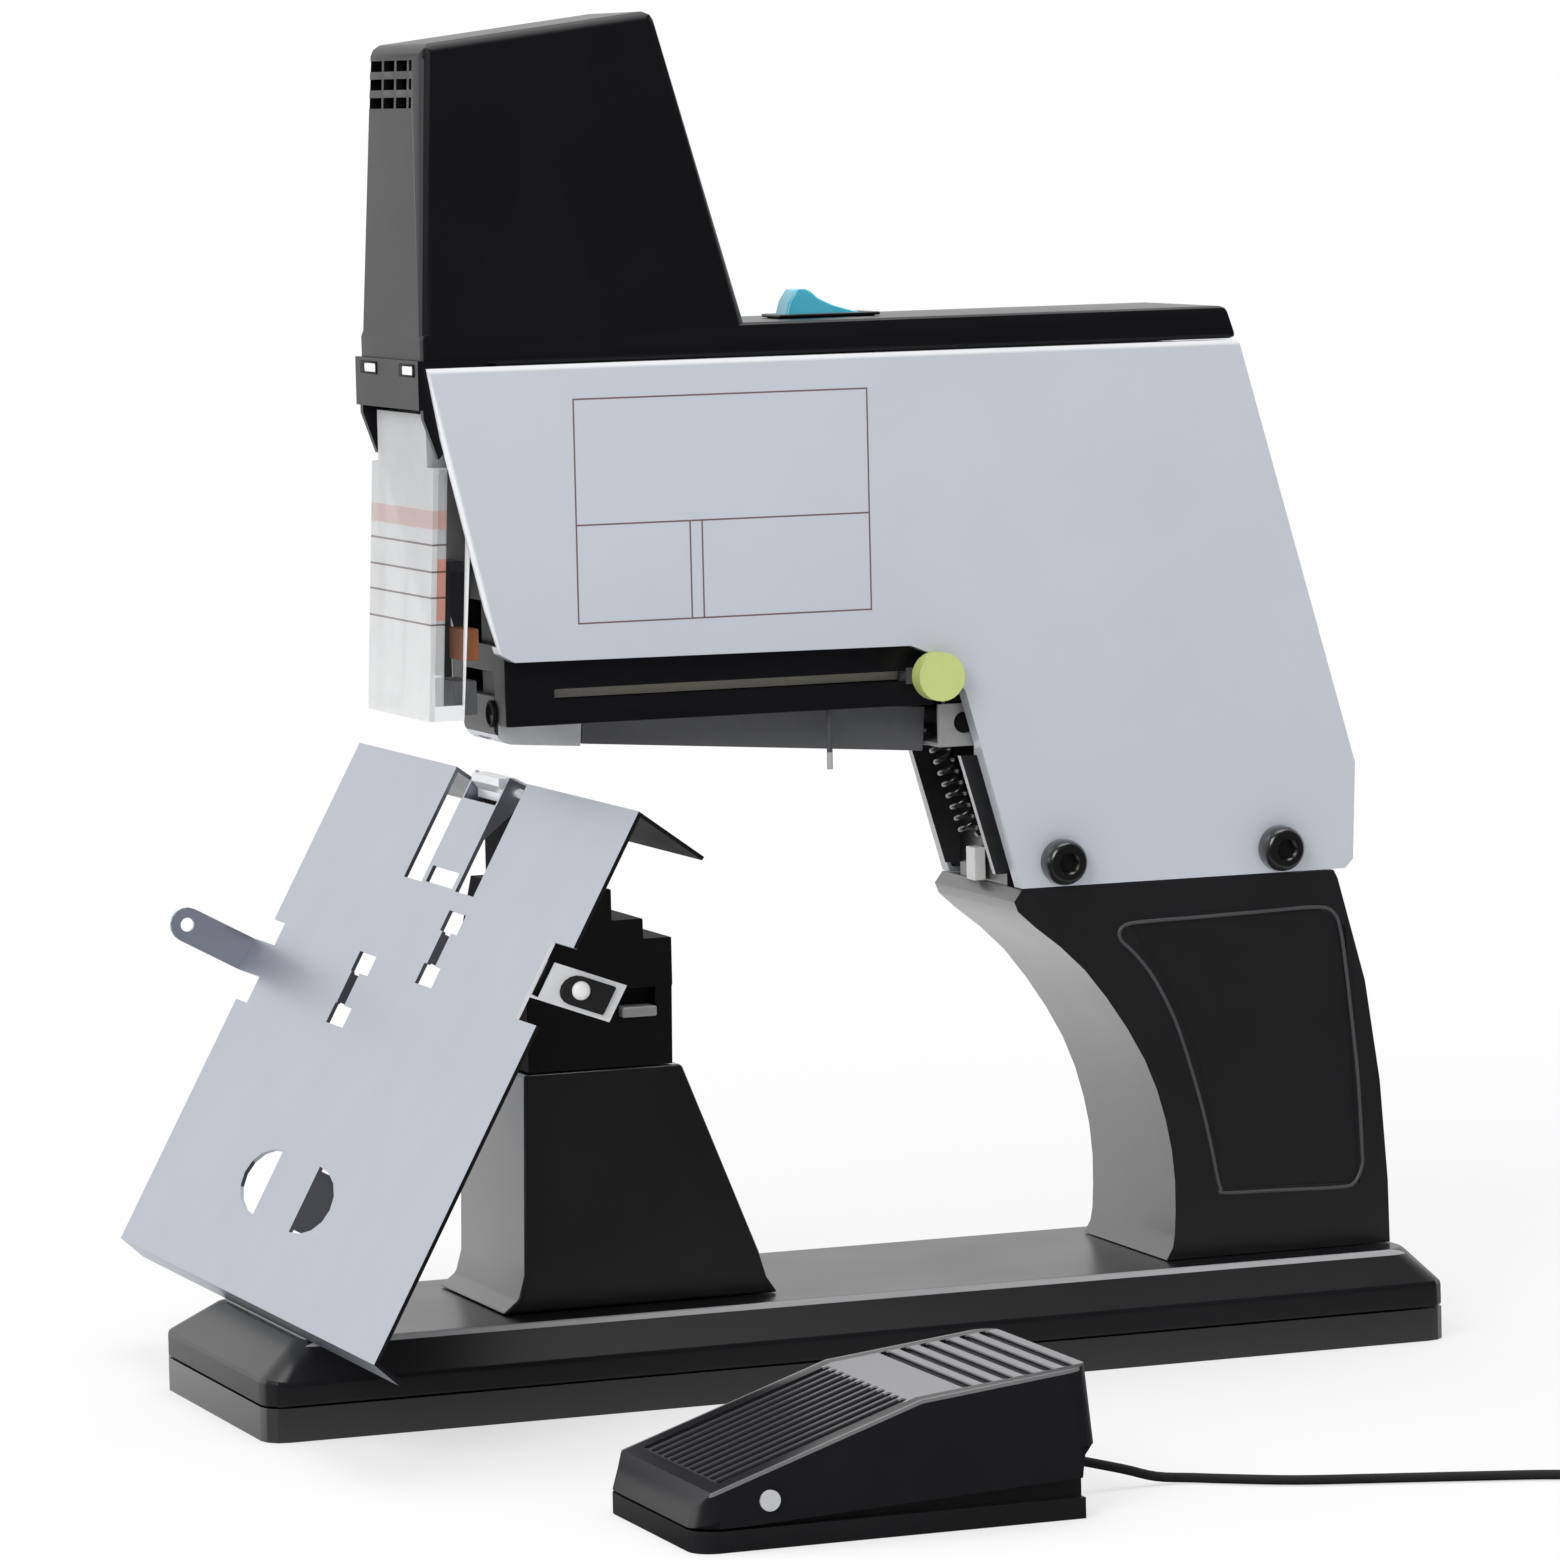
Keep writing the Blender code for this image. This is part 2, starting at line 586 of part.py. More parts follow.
def plate(name, outline, thickness, placement, holes=()):
    """A flat outline, with holes, extruded to both sides of its own plane."""
    curve = bpy.data.curves.new(name, "CURVE")
    curve.dimensions = "2D"
    curve.fill_mode = "BOTH"
    curve.extrude = thickness / 2
    for loop in (outline, *holes):
        spline = curve.splines.new("POLY")
        spline.points.add(len(loop) - 1)
        for point, (u, v) in zip(spline.points, loop):
            point.co = (u, v, 0, 1)
        spline.use_cyclic_u = True
    guide = bpy.data.objects.new(name + "_guide", curve)
    PARTS.objects.link(guide)
    mesh = bpy.data.meshes.new_from_object(guide.evaluated_get(bpy.context.evaluated_depsgraph_get()))
    bpy.data.objects.remove(guide)
    shape = bmesh.new()
    shape.from_mesh(mesh)
    bmesh.ops.remove_doubles(shape, verts=shape.verts, dist=SCREW_MERGE)
    return add(name, mesh_of(name, shape), placement)


def slab(name, outline, x, holes=()):
    """An outline of (y, z) points between two x limits."""
    across = Matrix(((0, 0, 1, sum(x) / 2), (1, 0, 0, 0), (0, 1, 0, 0), (0, 0, 0, 1)))
    return plate(name, outline, abs(x[1] - x[0]), across, holes)


def rod(name, start, end, radius, sides=ROUND_SIDES, end_radius=None):
    """A round bar or a cone from one point to another."""
    start, end = Vector(start), Vector(end)
    shape = bmesh.new()
    tip = radius if end_radius is None else end_radius
    bmesh.ops.create_cone(
        shape, cap_ends=True, segments=sides, radius1=radius, radius2=tip, depth=(end - start).length
    )
    turn = (end - start).to_track_quat("Z", "Y").to_matrix().to_4x4()
    thing = add(name, mesh_of(name, shape), Matrix.Translation((start + end) / 2) @ turn)
    thing.data.shade_smooth()
    thing.data.set_sharp_from_angle(angle=SMOOTH_ANGLE)
    return thing


def cross_rod(name, x, centre, radius, sides=ROUND_SIDES):
    """A round bar along X at a (y, z) place."""
    return rod(name, (x[0], *centre), (x[1], *centre), radius, sides)


def turned(name, profile, placement, sides=ROUND_SIDES):
    """A profile of (radius, height) points, from the top down, turned about Z."""
    mesh = bpy.data.meshes.new(name)
    points = [(radius, 0, height) for radius, height in profile]
    mesh.from_pydata(points, [(i, i + 1) for i in range(len(points) - 1)], [])
    thing = add(name, mesh, placement)
    screw = thing.modifiers.new("turn", "SCREW")
    screw.axis = "Z"
    screw.steps = screw.render_steps = sides
    screw.use_merge_vertices = True
    screw.merge_threshold = SCREW_MERGE
    screw.use_smooth_shade = True
    return thing


def tube(name, points, radius, resolution):
    """A round wire along a list of points."""
    curve = bpy.data.curves.new(name, "CURVE")
    curve.dimensions = "3D"
    curve.bevel_depth = radius
    curve.bevel_resolution = resolution
    curve.use_fill_caps = True
    spline = curve.splines.new("POLY")
    spline.points.add(len(points) - 1)
    for place, point in zip(spline.points, points):
        place.co = (*point, 1)
    spline.use_smooth = True
    thing = bpy.data.objects.new(name, curve)
    PARTS.objects.link(thing)
    return thing


def combine(target, operation, others):
    for other in others:
        PARTS.objects.unlink(other)
        CUTTERS.objects.link(other)
        other.hide_render = True
        other.display_type = "WIRE"
        modifier = target.modifiers.new(other.name, "BOOLEAN")
        modifier.operation = operation
        modifier.object = other
    return target


def join(target, *others):
    return combine(target, "UNION", others)


def cut(target, *others):
    return combine(target, "DIFFERENCE", others)


def soften(thing, width, segments=2):
    """Rounds every sharp edge."""
    edge = thing.modifiers.new("rounded", "BEVEL")
    edge.width = width
    edge.segments = segments
    edge.limit_method = "ANGLE"
    edge.angle_limit = SMOOTH_ANGLE
    return thing


def paint(thing, look):
    colour, metallic, roughness = look
    material = bpy.data.materials.new(thing.name)
    material.use_nodes = True
    shader = material.node_tree.nodes["Principled BSDF"]
    shader.inputs["Base Color"].default_value = (*colour, 1)
    shader.inputs["Metallic"].default_value = metallic
    shader.inputs["Roughness"].default_value = roughness
    material.diffuse_color = (*colour, 1)
    thing.data.materials.clear()
    thing.data.materials.append(material)
    return thing


def pivot(name, location, turn=None):
    """An empty on a joint's axis."""
    axis = bpy.data.objects.new(name, None)
    axis.matrix_world = Matrix.Translation(location) @ (turn or Matrix.Identity(4))
    PARTS.objects.link(axis)
    return axis


def carry(axis, *things):
    """Hangs things on a pivot and leaves them where they are."""
    for thing in things:
        thing.parent = axis
        thing.matrix_parent_inverse = axis.matrix_basis.inverted()


def spread(shares, u, v):
    """Turns shares of two spans into points."""
    return [(u[0] + a * (u[1] - u[0]), v[0] + b * (v[1] - v[0])) for a, b in shares]


def span(start, length):
    return (start, start + length)


def arc(centre, radius, first, last, steps):
    """Points of an arc between two angles in degrees, both ends included."""
    angles = [math.radians(first + (last - first) * i / steps) for i in range(steps + 1)]
    return [(centre[0] + radius * math.cos(a), centre[1] + radius * math.sin(a)) for a in angles]


def circle(centre, radius, sides=ROUND_SIDES):
    return arc(centre, radius, 0, 360, sides)[:-1]


def rectangle(u, v):
    return [(u[0], v[0]), (u[1], v[0]), (u[1], v[1]), (u[0], v[1])]


def smooth(points, steps):
    """A Catmull-Rom curve through points of any dimension, with this many steps between them."""
    places = np.array(points, float)
    padded = np.vstack((2 * places[0] - places[1], places, 2 * places[-1] - places[-2]))
    line = []
    for a, b, c, d in zip(padded, padded[1:], padded[2:], padded[3:]):
        for t in np.linspace(0, 1, steps, endpoint=False):
            bend = (2 * a - 5 * b + 4 * c - d) * t**2 + (3 * b - a - 3 * c + d) * t**3
            line.append(tuple((2 * b + (c - a) * t + bend) / 2))
    return line + [tuple(places[-1])]


def offset(loop, distances):
    """Moves each edge of a closed outline inwards by its own distance."""
    points = [Vector(point) for point in loop]
    following = points[1:] + points[:1]
    way_round = math.copysign(1, sum(a.x * b.y - b.x * a.y for a, b in zip(points, following)))
    lines = []
    for a, b, distance in zip(points, following, distances):
        along = (b - a).normalized()
        lines.append((a + Vector((-along.y, along.x)) * way_round * distance, along))
    corners = []
    for (a, along_a), (b, along_b) in zip(lines[-1:] + lines[:-1], lines):
        turn = along_a.x * along_b.y - along_a.y * along_b.x
        reach = ((b - a).x * along_b.y - (b - a).y * along_b.x) / turn
        corners.append(tuple(a + along_a * reach))
    return corners


def strip(line, thickness):
    """The outline of a bent sheet that lies to the right of a line."""
    points = [Vector(point) for point in line]
    ways = [(b - a).normalized() for a, b in zip(points, points[1:])]
    sides = [Vector((way.y, -way.x)) for way in ways]
    inner = []
    for point, before, after in zip(points, sides[:1] + sides, sides + sides[-1:]):
        inner.append(point + (before + after) * thickness / (1 + before.dot(after)))
    return [tuple(point) for point in points + inner[::-1]]


def least_gap(points, apart, radius):
    """The least gap of a wire to itself, between points at least so many steps apart."""
    places = np.array(points)
    distances = np.linalg.norm(places[:, None] - places[None], axis=2)
    first, second = np.triu_indices(len(places), apart)
    return distances[first, second].min() - 2 * radius


# Base

def base():
    half_width, half_length = BASE_WIDTH / 2, BASE_LENGTH / 2
    x, y = (-half_width, half_width), (-half_length, half_length)
    pan = stacked_box("base_pan", ((0, x, y), (PAN_HEIGHT, x, y)), BASE_CORNER)
    top_x = (x[0] + SIDE_SLOPE_INSET, x[1] - SIDE_SLOPE_INSET)
    top_y = (y[0] + FRONT_SLOPE_INSET, y[1] - REAR_SLOPE_INSET)
    casting = stacked_box(
        "base_casting",
        ((CASTING_BOTTOM, x, y), (CASTING_SHOULDER, x, y), (BASE_TOP, top_x, top_y)),
        BASE_CORNER,
    )
    for side, side_name in ((1, "right"), (-1, "left")):
        for end, end_name in ((-1, "front"), (1, "rear")):
            place = (side * (half_width - FOOT_INSET), end * (half_length - FOOT_INSET))
            foot = rod(f"foot_{end_name}_{side_name}", (*place, 0), (*place, FOOT_THICKNESS), FOOT_RADIUS)
            recess = rod(
                f"{foot.name}_recess",
                (*place, -OVERRUN),
                (*place, FOOT_THICKNESS + CLEARANCE),
                FOOT_RADIUS + CLEARANCE,
            )
            cut(pan, recess)
            paint(foot, RUBBER)
    paint(pan, CAST_BLACK)
    paint(casting, SATIN_BLACK)


def front_pillar():
    half = PILLAR_WIDTH / 2
    outline = spread(PILLAR_SHARES, span(PILLAR_FRONT, PILLAR_LENGTH), span(ON_BASE, PILLAR_HEIGHT))
    paint(slab("front_pillar", outline, (-half, half)), SATIN_BLACK)


def column_outline():
    shares = smooth(THROAT_SHARES, THROAT_STEPS) + list(BACK_SHARES)
    return spread(shares, span(COLUMN_FRONT, COLUMN_LENGTH), span(ON_BASE, COLUMN_HEIGHT))


def rear_column():
    half = COLUMN_WIDTH / 2
    column = slab("rear_column", column_outline(), (-half, half))
    panel = spread(PANEL_SHARES, span(COLUMN_FRONT, COLUMN_LENGTH), span(ON_BASE, COLUMN_HEIGHT))
    for side, name in ((1, "right"), (-1, "left")):
        x = sorted((side * (half - PANEL_RECESS), side * (half + OVERRUN)))
        cut(column, slab(f"column_panel_{name}", panel, x))
    neck = box(
        "column_neck",
        (-NECK_WIDTH / 2, NECK_WIDTH / 2),
        NECK_Y,
        (COLUMN_TOP - OVERRUN, COLUMN_TOP + NECK_HEIGHT),
    )
    join(column, neck)
    for index, y in enumerate(CAP_Y):
        reach = (-NECK_WIDTH, NECK_WIDTH)
        cut(column, cross_rod(f"neck_bore_{index}", reach, (y, CAP_Z), CAP_STEM_RADIUS + CLEARANCE))
    paint(column, SATIN_BLACK)


# Anvil and table

def anvil_block():
    half = BLOCK_WIDTH / 2
    outline = spread(BLOCK_SHARES, span(BLOCK_FRONT, BLOCK_LENGTH), span(BLOCK_BOTTOM, BLOCK_HEIGHT))
    block = slab("anvil_block", outline, (-half, half))
    post = box("anvil_post", (-ANVIL_WIDTH / 2, ANVIL_WIDTH / 2), POST_Y, (BLOCK_TOP - OVERRUN, POST_TOP))
    join(block, post)
    slot = box(
        "latch_slot",
        (half - LATCH_DEPTH - CLEARANCE, half + OVERRUN),
        (LATCH_Y[0] - CLEARANCE, LATCH_Y[1] + CLEARANCE),
        (LATCH_BOTTOM - CLEARANCE, LATCH_BOTTOM + LATCH_THICKNESS + LATCH_TRAVEL + RUNNING_GAP),
    )
    cut(block, slot)
    latch = box(
        "lock_lever",
        (half - LATCH_DEPTH, half + LATCH_REACH),
        LATCH_Y,
        span(LATCH_BOTTOM, LATCH_THICKNESS),
    )
    paint(block, SATIN_BLACK)
    paint(latch, ZINC)


def anvil():
    half = ANVIL_WIDTH / 2
    outline = spread(ANVIL_SHARES, span(ANVIL_FRONT, ANVIL_LENGTH), span(ANVIL_BOTTOM, ANVIL_HEIGHT))
    bore = circle(TABLE_PIVOT, PIN_RADIUS + CLEARANCE, SMALL_SIDES)
    paint(slab("anvil", outline, (-half, half), (bore,)), BRIGHT_STEEL)
    tongue_half = TONGUE_WIDTH / 2 + PIN_END
    pin = cross_rod("table_pin", (-tongue_half, tongue_half), TABLE_PIVOT, PIN_RADIUS, SMALL_SIDES)
    paint(pin, BRIGHT_STEEL)
    return pin


def table_directions():
    """Down the table's face, and square to it towards the rear, as (y, z)."""
    along = Vector((-math.cos(TABLE_SLOPE), -math.sin(TABLE_SLOPE)))
    behind = Vector((math.sin(TABLE_SLOPE), -math.cos(TABLE_SLOPE)))
    return along, behind


def ridge():
    along, behind = table_directions()
    return Vector(TABLE_PIVOT) - along * PIN_ALONG - behind * PIN_BEHIND


def on_table(points):
    """Turns (along, behind) places into (y, z) points."""
    along, behind = table_directions()
    return [tuple(ridge() + along * s + behind * d) for s, d in points]


def table_cutter(name, outline, depth):
    """A cutter through the table's face, from an outline of (x, along) points."""
    along, behind = table_directions()
    middle = ridge() + behind * sum(depth) / 2
    placement = Matrix(
        ((1, 0, 0, 0), (0, along.x, behind.x, middle.x), (0, along.y, behind.y, middle.y), (0, 0, 0, 1))
    )
    return plate(name, outline, depth[1] - depth[0], placement)


def waisted_window(window, waist, along):
    """Two square holes joined by a narrow slot."""
    middle = sum(along) / 2
    neck = (middle - WAIST_LENGTH / 2, middle + WAIST_LENGTH / 2)
    left, right = window
    return [
        (left, along[0]), (right, along[0]), (right, neck[0]), (waist[1], neck[0]),
        (waist[1], neck[1]), (right, neck[1]), (right, along[1]), (left, along[1]),
        (left, neck[1]), (waist[0], neck[1]), (waist[0], neck[0]), (left, neck[0]),
    ]


def crescent(x, along):
    """Half an ellipse with its straight edge at the first x."""
    middle, half = sum(along) / 2, (along[1] - along[0]) / 2
    bulge = x[1] - x[0]
    angles = [math.pi * (i / CRESCENT_STEPS - 0.5) for i in range(CRESCENT_STEPS + 1)]
    return [(x[0] + bulge * math.cos(a), middle + half * math.sin(a)) for a in angles]


def bent_tab(name, x, along, depth):
    """A tab of the sheet bent back square to it at a hole's edge."""
    return slab(name, on_table(rectangle(along, (TUCK, depth))), x)


def lean(points):
    """Slides (along, behind) points of the ear towards the ridge, the more the farther behind."""
    return [(s - EAR_LEAN * d / EAR_DEPTH, d) for s, d in points]


def ear_opening(inset):
    """The ear's D-shaped opening, round at the sheet and square at the free end."""
    low, high = EAR_ALONG[0] + EAR_HOLE_MARGIN + inset, EAR_ALONG[1] - EAR_HOLE_MARGIN - inset
    near, far = EAR_HOLE_DEPTH[0] + inset, EAR_HOLE_DEPTH[1] - inset
    half = (high - low) / 2
    round_end = arc((low + half, near + half), half, 0, -180, CRESCENT_STEPS)
    return on_table(lean([(low, far), (high, far)] + round_end))


def table():
    half = TABLE_WIDTH / 2
    top = ridge()
    foot_z = ON_BASE + LIP_LENGTH * math.sin(LIP_SLOPE)
    length = (top.y - foot_z) / math.sin(TABLE_SLOPE)
    corner = on_table(((length, 0),))[0]
    lip = (corner[0] + LIP_LENGTH * math.cos(LIP_SLOPE), ON_BASE)
    tip = (top.x + FLANGE_LENGTH * math.cos(FLANGE_SLOPE), top.y - FLANGE_LENGTH * math.sin(FLANGE_SLOPE))
    sheet = slab("table", strip((lip, corner, tuple(top), tip), SHEET), (-half, half))

    through = (-OVERRUN, SHEET + OVERRUN)
    past_ridge = -FLANGE_LENGTH
    gap, tongue = TONGUE_GAP_WIDTH / 2, TONGUE_WIDTH / 2
    flange_depth = (-OVERRUN, FLANGE_LENGTH + OVERRUN)
    holes = [table_cutter("ridge_gap", rectangle((-gap, gap), (past_ridge, TONGUE_START)), flange_depth)]
    for name, x in (("right", (tongue, gap)), ("left", (-gap, -tongue))):
        holes.append(table_cutter(f"tongue_slot_{name}", rectangle(x, (past_ridge, TONGUE_END)), through))
    holes.append(table_cutter("tongue_window", rectangle(TONGUE_WINDOW_X, TONGUE_WINDOW_ALONG), through))
    right = waisted_window(RIGHT_WINDOW_X, RIGHT_WAIST_X, RIGHT_WINDOW_ALONG)
    left = waisted_window(LEFT_WINDOW_X, LEFT_WAIST_X, LEFT_WINDOW_ALONG)
    holes.append(table_cutter("right_window", right, through))
    holes.append(table_cutter("left_window", left, through))
    holes.append(table_cutter("right_crescent", crescent(RIGHT_CRESCENT_X, CRESCENT_ALONG), through))
    holes.append(table_cutter("left_crescent", crescent(LEFT_CRESCENT_X, CRESCENT_ALONG), through))
    right_edge = half - RIGHT_NOTCH_DEPTH
    left_edge = LEFT_NOTCH_DEPTH - half
    right_notch = rectangle((right_edge, half + OVERRUN), RIGHT_NOTCH_ALONG)
    left_notch = rectangle((-half - OVERRUN, left_edge), LEFT_NOTCH_ALONG)
    holes.append(table_cutter("right_notch", right_notch, through))
    holes.append(table_cutter("left_notch", left_notch, through))
    cut(sheet, *holes)

    tabs = []
    for side, name in ((1, "right"), (-1, "left")):
        wall = on_table((
            (TONGUE_WALL_START, TUCK), (TONGUE_WALL_LENGTH, TUCK), (TONGUE_WALL_LENGTH, SHEET + TUCK),
            (TONGUE_WALL_SHOULDER, TONGUE_WALL_DEPTH), (TONGUE_WALL_START, TONGUE_WALL_DEPTH),
        ))
        bore = circle(TABLE_PIVOT, PIN_RADIUS + CLEARANCE, SMALL_SIDES)
        x = sorted((side * (tongue - TUCK), side * (tongue - TUCK - SHEET)))
        tabs.append(slab(f"tongue_wall_{name}", wall, x, (bore,)))
    windows = (("right", RIGHT_WAIST_X, RIGHT_WINDOW_ALONG), ("left", LEFT_WAIST_X, LEFT_WINDOW_ALONG))
    for name, waist, along in windows:
        middle, reach = sum(along) / 2, WAIST_LENGTH / 2 - WINDOW_TAB_MARGIN
        x = (waist[0] - SHEET - TUCK, waist[0] - TUCK)
        tabs.append(bent_tab(f"{name}_window_tab", x, (middle - reach, middle + reach), WINDOW_TAB_DEPTH))
    ends = (CRESCENT_ALONG[0] + SHEET, CRESCENT_ALONG[1] - SHEET)
    right_x = (RIGHT_CRESCENT_X[0] - SHEET - TUCK, RIGHT_CRESCENT_X[0] - TUCK)
    left_x = (LEFT_CRESCENT_X[0] + TUCK, LEFT_CRESCENT_X[0] + SHEET + TUCK)
    tabs.append(bent_tab("right_crescent_tab", right_x, ends, CRESCENT_TAB_DEPTH))
    tabs.append(bent_tab("left_crescent_tab", left_x, ends, CRESCENT_TAB_DEPTH))

    arm_end = -half - ARM_REACH
    arm_face = (TUCK, SHEET - TUCK)
    tabs.append(table_cutter("side_arm", rectangle((arm_end, left_edge + SHEET), ARM_ALONG), arm_face))
    arm_middle, arm_half = sum(ARM_ALONG) / 2, (ARM_ALONG[1] - ARM_ALONG[0]) / 2
    round_end = arc((arm_middle, -ARM_LENGTH), arm_half, 0, -180, CRESCENT_STEPS)
    arm_tip = on_table([(ARM_ALONG[0], SHEET), (ARM_ALONG[1], SHEET)] + round_end)
    arm_hole = on_table(circle((arm_middle, -ARM_LENGTH), ARM_HOLE_RADIUS, SMALL_SIDES))
    tabs.append(slab("side_arm_tip", arm_tip, (arm_end - TUCK, arm_end + SHEET), (arm_hole,)))
    ear_x = (right_edge - SHEET - TUCK, right_edge - TUCK)
    ear = on_table(lean(rectangle(EAR_ALONG, (TUCK, EAR_DEPTH))))
    tabs.append(slab("side_ear", ear, ear_x, (ear_opening(0),)))
    join(sheet, *tabs)
    sheet.modifiers["side_ear"].solver = "MANIFOLD"

    pad_middle = right_edge - SHEET / 2
    pad_x = (pad_middle - EAR_PAD_THICKNESS / 2, pad_middle + EAR_PAD_THICKNESS / 2)
    pad = slab("ear_pad", ear_opening(CLEARANCE), pad_x)
    paint(sheet, STAINLESS)
    paint(pad, RUBBER)
    carry(pivot("table_pivot", (0, *TABLE_PIVOT)), sheet, pad)


# Head

def side_covers():
    outline = spread(COVER_SHARES, span(COVER_FRONT, COVER_LENGTH), (HEAD_BOTTOM, HEAD_TOP))
    walls = [COVER_SHEET] * len(outline)
    walls[:COVER_FRONT_EDGES] = [-OVERRUN] * COVER_FRONT_EDGES
    pocket = offset(outline, walls)
    holes = [circle((y, CAP_Z), CAP_STEM_RADIUS + CLEARANCE, SMALL_SIDES) for y in CAP_Y]
    for side, name in ((1, "right"), (-1, "left")):
        inner = HALF_HEAD - COVER_LIP
        cover = slab(f"side_cover_{name}", outline, sorted((side * inner, side * HALF_HEAD)))
        face = side * (HALF_HEAD - COVER_SHEET)
        hollow = slab(f"cover_hollow_{name}", pocket, sorted((side * (inner - OVERRUN), face)))
        notch = box(
            f"cover_notch_{name}",
            sorted((side * (inner - OVERRUN), face)),
            (COVER_FRONT - OVERRUN, COVER_FRONT + COVER_NOTCH_LENGTH),
            (HEAD_TOP - COVER_NOTCH_HEIGHT, HEAD_TOP + OVERRUN),
        )
        through = sorted((face - side * OVERRUN, side * (HALF_HEAD + OVERRUN)))
        bores = [slab(f"cap_bore_{name}_{index}", hole, through) for index, hole in enumerate(holes)]
        cut(cover, hollow, notch, *bores)
        paint(cover, GREY_PANEL)


def caps():
    """Domed screws that hold the covers and the frame plates to the neck."""
    for side, side_name in ((1, "right"), (-1, "left")):
        for y, end_name in zip(CAP_Y, ("front", "rear")):
            dome = [(CAP_RADIUS * a, CLEARANCE + CAP_HEIGHT * b) for a, b in CAP_DOME_SHARES]
            socket_floor = CLEARANCE + CAP_HEIGHT - CAP_SOCKET_DEPTH
            wall, stem_end = CAP_SOCKET_RADIUS, -CAP_STEM_LENGTH
            socket = [(0, socket_floor), (wall, socket_floor), (wall, dome[-1][1])]
            stem = [(CAP_STEM_RADIUS, CLEARANCE), (CAP_STEM_RADIUS, stem_end), (0, stem_end)]
            turn = Matrix.Rotation(side * math.pi / 2, 4, "Y")
            placement = Matrix.Translation((side * HALF_HEAD, y, CAP_Z)) @ turn
            cap = turned(f"cap_{end_name}_{side_name}", socket + dome[::-1] + stem, placement)
            paint(cap, SATIN_BLACK)


def tapered_tower(name, width, top_width, wall):
    """The tower's block; a wall of more than zero gives the block of its hollow."""
    front, rear = LID_FRONT + wall, LID_FRONT + TOWER_LENGTH - wall
    shape = bmesh.new()
    bmesh.ops.create_cube(shape, size=2)
    for vertex in shape.verts:
        right, back, up = (value > 0 for value in vertex.co)
        if up:
            half = top_width / 2 - wall
            y = rear - TOWER_REAR_SLOPE if back else front + TOWER_FRONT_SLOPE
            z = TOWER_TOP + (TOWER_TOP_RISE if back else 0) - wall
        else:
            half = width / 2 - wall
            y = rear if back else front
            z = LID_TOP - TOWER_ROOT - (wall and OVERRUN)
        vertex.co = (half if right else -half, y, z)
    return add(name, mesh_of(name, shape))


def lid_block(name, wall):
    """The low lid's block, with its rear end sloped."""
    rear = LID_FRONT + LID_LENGTH
    bottom = TOP_COVER_BOTTOM - (wall and OVERRUN)
    outline = [
        (LID_FRONT + wall, bottom), (rear - wall, bottom),
        (rear - wall - LID_REAR_SLOPE, LID_TOP - wall), (LID_FRONT + wall, LID_TOP - wall),
    ]
    half = LID_WIDTH / 2 - wall
    return slab(name, outline, (-half, half))


def top_cover():
    cover = soften(lid_block("top_cover", 0), LID_EDGE)
    tower = soften(tapered_tower("tower_block", LID_WIDTH - CLEARANCE, TOWER_TOP_WIDTH, 0), TOWER_EDGE)
    half = LID_WIDTH / 2
    bezel_z = (TOP_COVER_BOTTOM - BEZEL_HEIGHT, TOP_COVER_BOTTOM + LID_WALL)
    bezel_y = (COVER_FRONT - CLEARANCE - BEZEL_THICKNESS, COVER_FRONT - CLEARANCE)
    bezel = box("bezel", (-half, half), bezel_y, bezel_z)
    cheeks = []
    cheek_outline = spread(
        CHEEK_SHARES,
        span(CHEEK_FRONT, CHEEK_LENGTH),
        (TOP_COVER_BOTTOM - CHEEK_DROP, TOP_COVER_BOTTOM + LID_WALL),
    )
    cheek_face = HALF_HEAD - COVER_SHEET - CLEARANCE
    pin_hole = circle(GUARD_PIVOT, GUARD_PIN_RADIUS + CLEARANCE, SMALL_SIDES)
    for side, name in ((1, "right"), (-1, "left")):
        x = sorted((side * (cheek_face - CHEEK_THICKNESS), side * cheek_face))
        cheeks.append(slab(f"cheek_{name}", cheek_outline, x, (pin_hole,)))
    join(cover, tower)
    tower_hollow = tapered_tower("tower_hollow", LID_WIDTH, TOWER_TOP_WIDTH, LID_WALL)
    cut(cover, lid_block("lid_hollow", LID_WALL), tower_hollow)
    join(cover, bezel, *cheeks)
    margin = CLEARANCE
    hole_y = (SWITCH_Y[0] - margin, SWITCH_Y[1] + margin)
    hole_x = (-SWITCH_WIDTH / 2 - margin, SWITCH_WIDTH / 2 + margin)
    cut(cover, box("switch_hole", hole_x, hole_y, (LID_TOP - LID_WALL - OVERRUN, LID_TOP + OVERRUN)))
    vent_y = (LID_FRONT - OVERRUN, LID_FRONT + TOWER_FRONT_SLOPE + LID_WALL + OVERRUN)
    for row in range(VENT_ROWS):
        top = TOWER_TOP - VENT_TOP_DROP - row * VENT_PITCH
        for column, x in enumerate(VENT_X):
            cut(cover, box(f"vent_{row}_{column}", x, vent_y, (top - VENT_HEIGHT, top)))
    paint(cover, SATIN_BLACK)


